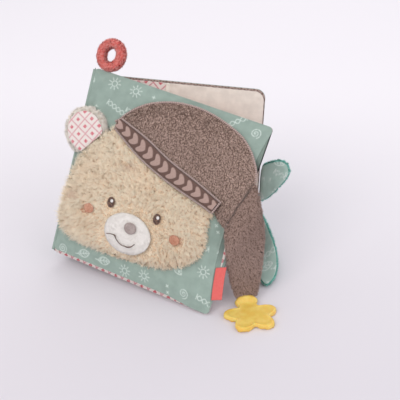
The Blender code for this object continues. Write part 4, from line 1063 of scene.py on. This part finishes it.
def build_band():
    """Makes the knitted band with its two cords; the upper one turns round the band's right end."""
    def place(u, v, height=None):
        along, low, high = band_edges(u)
        if height is None:
            height = BAND_EDGE + BAND_CROWN * hump(v) + 0.7 * MM * knit(u, v) - 0.3 * MM
        return COVER.point(*cap_place(along, low + (high - low) * v), FACE + BAND_UNDER + height)

    band, u, v, rim = slab("band_knit", place, lambda u, v: place(u, v, 0.05 * MM), np.linspace(0, 1, 420),
                           np.linspace(0, 1, 44))
    give(band, "relief", np.concatenate((knit(u, v), np.zeros(len(rim)))))
    finish(band, "front_cover", "knit", "band_knit", "cap_band", 0.3)
    along, low, high = band_edges(np.linspace(0, 1, 200))
    low, high = low - CORD_RADIUS - TOUCH, high + CORD_RADIUS + TOUCH
    turned_along = np.r_[along, np.full(9, along[-1] + 1.2 * MM)]
    turned_rise = np.r_[high, np.linspace(high[-1], low[-1], 9)]
    for side, ends, rise in (("lower", along, low), ("upper", turned_along, turned_rise)):
        path = COVER.point(*cap_place(ends, rise), FACE + BAND_UNDER + CORD_RADIUS)
        finish(tube(f"band_piping_{side}", path, CORD_RADIUS), "front_cover", "piping", "taupe_cord",
               f"band_cord_{side}")


# Ear

def build_ear():
    """Makes the ear: a plush rim round a printed pad."""
    skin = copy_node("ear_plush", "ear_skin", 2, -0.9 * MM)
    finish(skin, "ear", "cream_skin", "cream_plush", "ear_plush", 0.6)
    middle = np.mean(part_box("ear_print"), axis=0)
    base = PLACES["ear_flap"]

    def level(places):
        offset = places - middle
        return offset - np.outer(offset @ COVER.out, COVER.out)

    def length(places, up):
        under_pad = (up @ COVER.out > 0.5) & (lengths(level(places)) < 14 * MM)
        share = np.where(up @ COVER.out < -0.5, 0.35, np.where(under_pad, 0.0, 1.0))
        return share * ease(((places - base) @ unit(middle - base) + 1.5 * MM) / (4 * MM))

    pile("ear_fur", skin, "ear", "ear_fur", lambda places, up: unit(level(places)) + COVER_DOWN * 0.2, length)
    pad = copy_node("ear_print", "ear_pad", 3, 0.15 * MM)
    places, toward = coords_of(pad), unit(base - middle)
    reach = ease(((places - middle) @ toward + 3 * MM) / (14 * MM)) * 1.6 * MM
    move_to(pad, places + toward * reach[:, None])
    lay_cloth(pad, COVER.top_left, COVER.across, COVER_DOWN)
    finish(pad, "ear", "ear_diamond", "diamond_cotton", "ear_print", 0.4)


# Tail, star, loop, label, fins

def build_tail():
    """Makes the hanging tail, with drawn folds below its bend, and the pile that runs over the bend."""
    skin = copy_node("cap_tail", "tail_skin", 3, -0.5 * MM)
    places, up = coords_of(skin), normals_of(skin)
    low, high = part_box("cap_tail")
    height = (places[:, 2] - low[2]) / (high[2] - low[2])
    drawn = noise(places * (1.0, 1.0, 0.32), 6.5 * MM, 91) * 0.8 * MM * ease((height - 0.2) * 2)
    folds = drawn + layered(places, 16 * MM, 95) * 0.7 * MM
    move_to(skin, places + up * (folds * ease(height * 8))[:, None])
    fold, axis = PLACES["tail_swing"], AXES["tail_swing"]
    way = PLACES["star_swing"] - fold
    way = unit(way - axis * (way @ axis))
    bend = ("front_cover", "cap_tail", fold - way * 2 * MM, fold + way * 14 * MM)
    pile("tail_fur", skin, bend, "tail_fur", np.array((0.15, -0.1, -1.0)))
    finish(skin, bend, "taupe_skin", "taupe_plush", "cap_tail", 0.75)


def build_star():
    """Makes the star teether; the arm that the tail holds is bent up into the tail's foot."""
    star = copy_node("star_teether", "star_rubber", 2)
    places = coords_of(star)
    middle = places.mean(0) * (1, 1, 0)
    arm = unit((PLACES["star_swing"] - middle) * (1, 1, 0))
    along, height = (places - middle) @ arm, places[:, 2]
    start, radius = 12 * MM, 11 * MM
    turn = np.maximum(along - start, 0) * 1.8 / radius
    bent = np.minimum(along, start) + (radius - height) * np.sin(turn)
    rise = radius - (radius - height) * np.cos(turn)
    aside = np.cross((0, 0, 1), arm)
    wider = (places - middle) @ aside * 0.6 * ease((along - start) / (5 * MM))
    moved = places + arm * (bent - along)[:, None] + np.outer(wider, aside)
    move_to(star, moved + np.outer(rise - height, (0, 0, 1)))
    finish(star, "star_teether", "rubber", "yellow_rubber", "star_teether")


def build_loop():
    """Makes the terry loop and its short looped pile."""
    skin = copy_node("hanging_loop", "loop_skin", 2, 0.5 * MM)
    finish(skin, "hanging_loop", "coral_skin", "coral_terry", "hanging_loop", 0.8)
    pile("loop_nap", skin, "hanging_loop", "coral_fur", np.array((0.2, -0.2, -0.6)))


def build_label():
    """Makes the folded ribbon: two layers joined by a round fold at the outer edge."""
    drop, length, width, skew, bend_start = 126.5 * MM, 27 * MM, 9.1 * MM, 3.6 * MM, 8.6 * MM
    turn = np.linspace(-math.pi / 2, math.pi / 2, 9)[1:-1]
    run = np.linspace(0, 1, 12) * bend_start

    def fold(radius):
        across = np.r_[run, bend_start + radius * np.cos(turn), run[::-1]]
        return line(across, np.r_[np.full(12, -radius), radius * np.sin(turn), np.full(12, radius)])

    outline = np.concatenate((fold(0.5 * MM), fold(0.2 * MM)[::-1]))
    reach, out = outline.T
    cuts, coords = np.linspace(0, 1, 28), []
    for cut in cuts:
        down = drop + cut * length
        edge = COVER.right_edge(down / COVER_HEIGHT) + 0.9 * MM
        wave = 0.25 * MM * math.sin(cut * 7) * (reach / width)
        coords.append(COVER.point(edge + reach, down - reach / width * skew, out + wave))
    made = skin_rings("label_ribbon", np.concatenate(coords), len(outline))
    give(made, "cloth", pattern(np.tile(reach, len(cuts)), np.repeat(cuts * length, len(outline))))
    finish(made, "side_label", "ribbon", "coral_ribbon", "side_label")


def build_fin(lobe, across, down):
    """Makes a lobe of the fish-tail: printed cotton in front, short plush behind."""
    body, root, axis = f"{lobe}_fin", PLACES[f"{lobe}_fin_flap"], AXES[f"{lobe}_fin_flap"]
    front = copy_node(f"{lobe}_fin_front", f"{lobe}_fin_cotton", 3)
    places, up = coords_of(front), normals_of(front)
    move_to(front, places + up * (layered(places, 8 * MM, 101) * 0.45 * MM)[:, None])
    cloth = lay_cloth(front, BACK.bottom_right, across, down)
    cloth = cloth - cloth.min(0)
    give(front, "ink", print_ink(cloth[:, 0], cloth[:, 1], 60 * MM, 100 * MM, 103, 15 * MM))
    # The fin front wears the lighter, painted-light copy of the mint cotton
    finish(front, body, "fin_mint_painted_light", "mint_cotton", f"{lobe}_fin_front", 0.5)
    back = copy_node(f"{lobe}_fin_back", f"{lobe}_fin_backing", 2)

    def off_root(places):
        away = lengths(np.cross(places - root, axis))
        return ease((away - 1.5 * MM) / (3 * MM))

    def length(places, up):
        free = off_root(places)
        for order, place in enumerate(places):
            _, near, way, _ = front.closest_point_on_mesh(Vector(place))
            free[order] *= (Vector(place) - near).dot(way) > 0.25 * MM
        return free

    grown = 0.4 * MM * off_root(coords_of(back))
    move_to(back, coords_of(back) + normals_of(back) * grown[:, None])
    finish(back, body, "teal_skin", "teal_plush", f"{lobe}_fin_back", 0.5)
    pile(f"{lobe}_fin_fur", back, body, "teal_fur", across * 0.8 - np.array((0, 0, 0.4)), length)


# Stage

def build_stage():
    """Adds the pale floor with a painted light gradient, lighter further back, the camera at the photograph's
    angle and the soft lamps.
    """
    bpy.ops.mesh.primitive_plane_add(size=60, location=(0, 0, 0))
    floor = bpy.context.object
    floor.name = "stage_floor"
    made = Nodes("pale_floor_painted_gradient", 0.95, 0.02)
    # Painted light: the floor is darker near the camera and lighter further back
    far = made.ramp(made.axes(made.own())[1], -0.35, 0.5)
    made.set(Base_Color=made.mix(far, "d9d5db", "f7f4f8"))
    floor.data.materials.append(made.material)

    shift = PLACES["page_turn"] - np.array((-0.07529, -0.00801, 0.07593))
    target = Vector((0.0188 + shift[0], shift[1], 0.0281))
    back = Vector(heading(-90, 30))
    lens = bpy.data.cameras.new("photo_camera")
    lens.lens, lens.sensor_width, lens.sensor_fit = 65.8, 36, "HORIZONTAL"
    lens.clip_start, lens.clip_end = 0.01, 100
    camera = new_object("photo_camera", lens)
    camera.location = target + back * 0.7
    camera.rotation_euler = (-back).to_track_quat("-Z", "Y").to_euler()
    bpy.context.scene.camera = camera

    for name, place, size, energy, colour in (
        ("key_lamp", (-0.75, -1.25, 1.35), 1.2, 14.6, (1, 0.985, 0.97)),
        ("fill_lamp", (1.2, -1.0, 0.9), 1.4, 6, (0.97, 0.98, 1)),
        ("back_lamp", (0.3, 1.2, 1.4), 1.6, 7, (1, 1, 1)),
    ):
        light = bpy.data.lights.new(name, "AREA")
        light.energy, light.size, light.color = energy, size, colour
        lamp = new_object(name, light)
        lamp.location = place
        lamp.rotation_euler = (Vector((0, 0, 0.08)) - Vector(place)).to_track_quat("-Z", "Y").to_euler()
    world = bpy.data.worlds.new("studio")
    world.use_nodes = True
    background = world.node_tree.nodes["Background"]
    background.inputs["Color"].default_value = (*linear("f4f2f6"), 1)
    background.inputs["Strength"].default_value = 0.72
    bpy.context.scene.world = world
    bpy.context.scene.view_settings.view_transform = "Standard"


build_stage()
build_leaves()
build_spine()
build_gusset()
build_head()
build_face()
build_crown()
build_band()
build_ear()
build_tail()
build_star()
build_loop()
build_label()
build_fin("upper", BACK.across, np.array((0, 0, 1.0)))
build_fin("lower", BACK.across, np.array((0, -1.0, 0)))
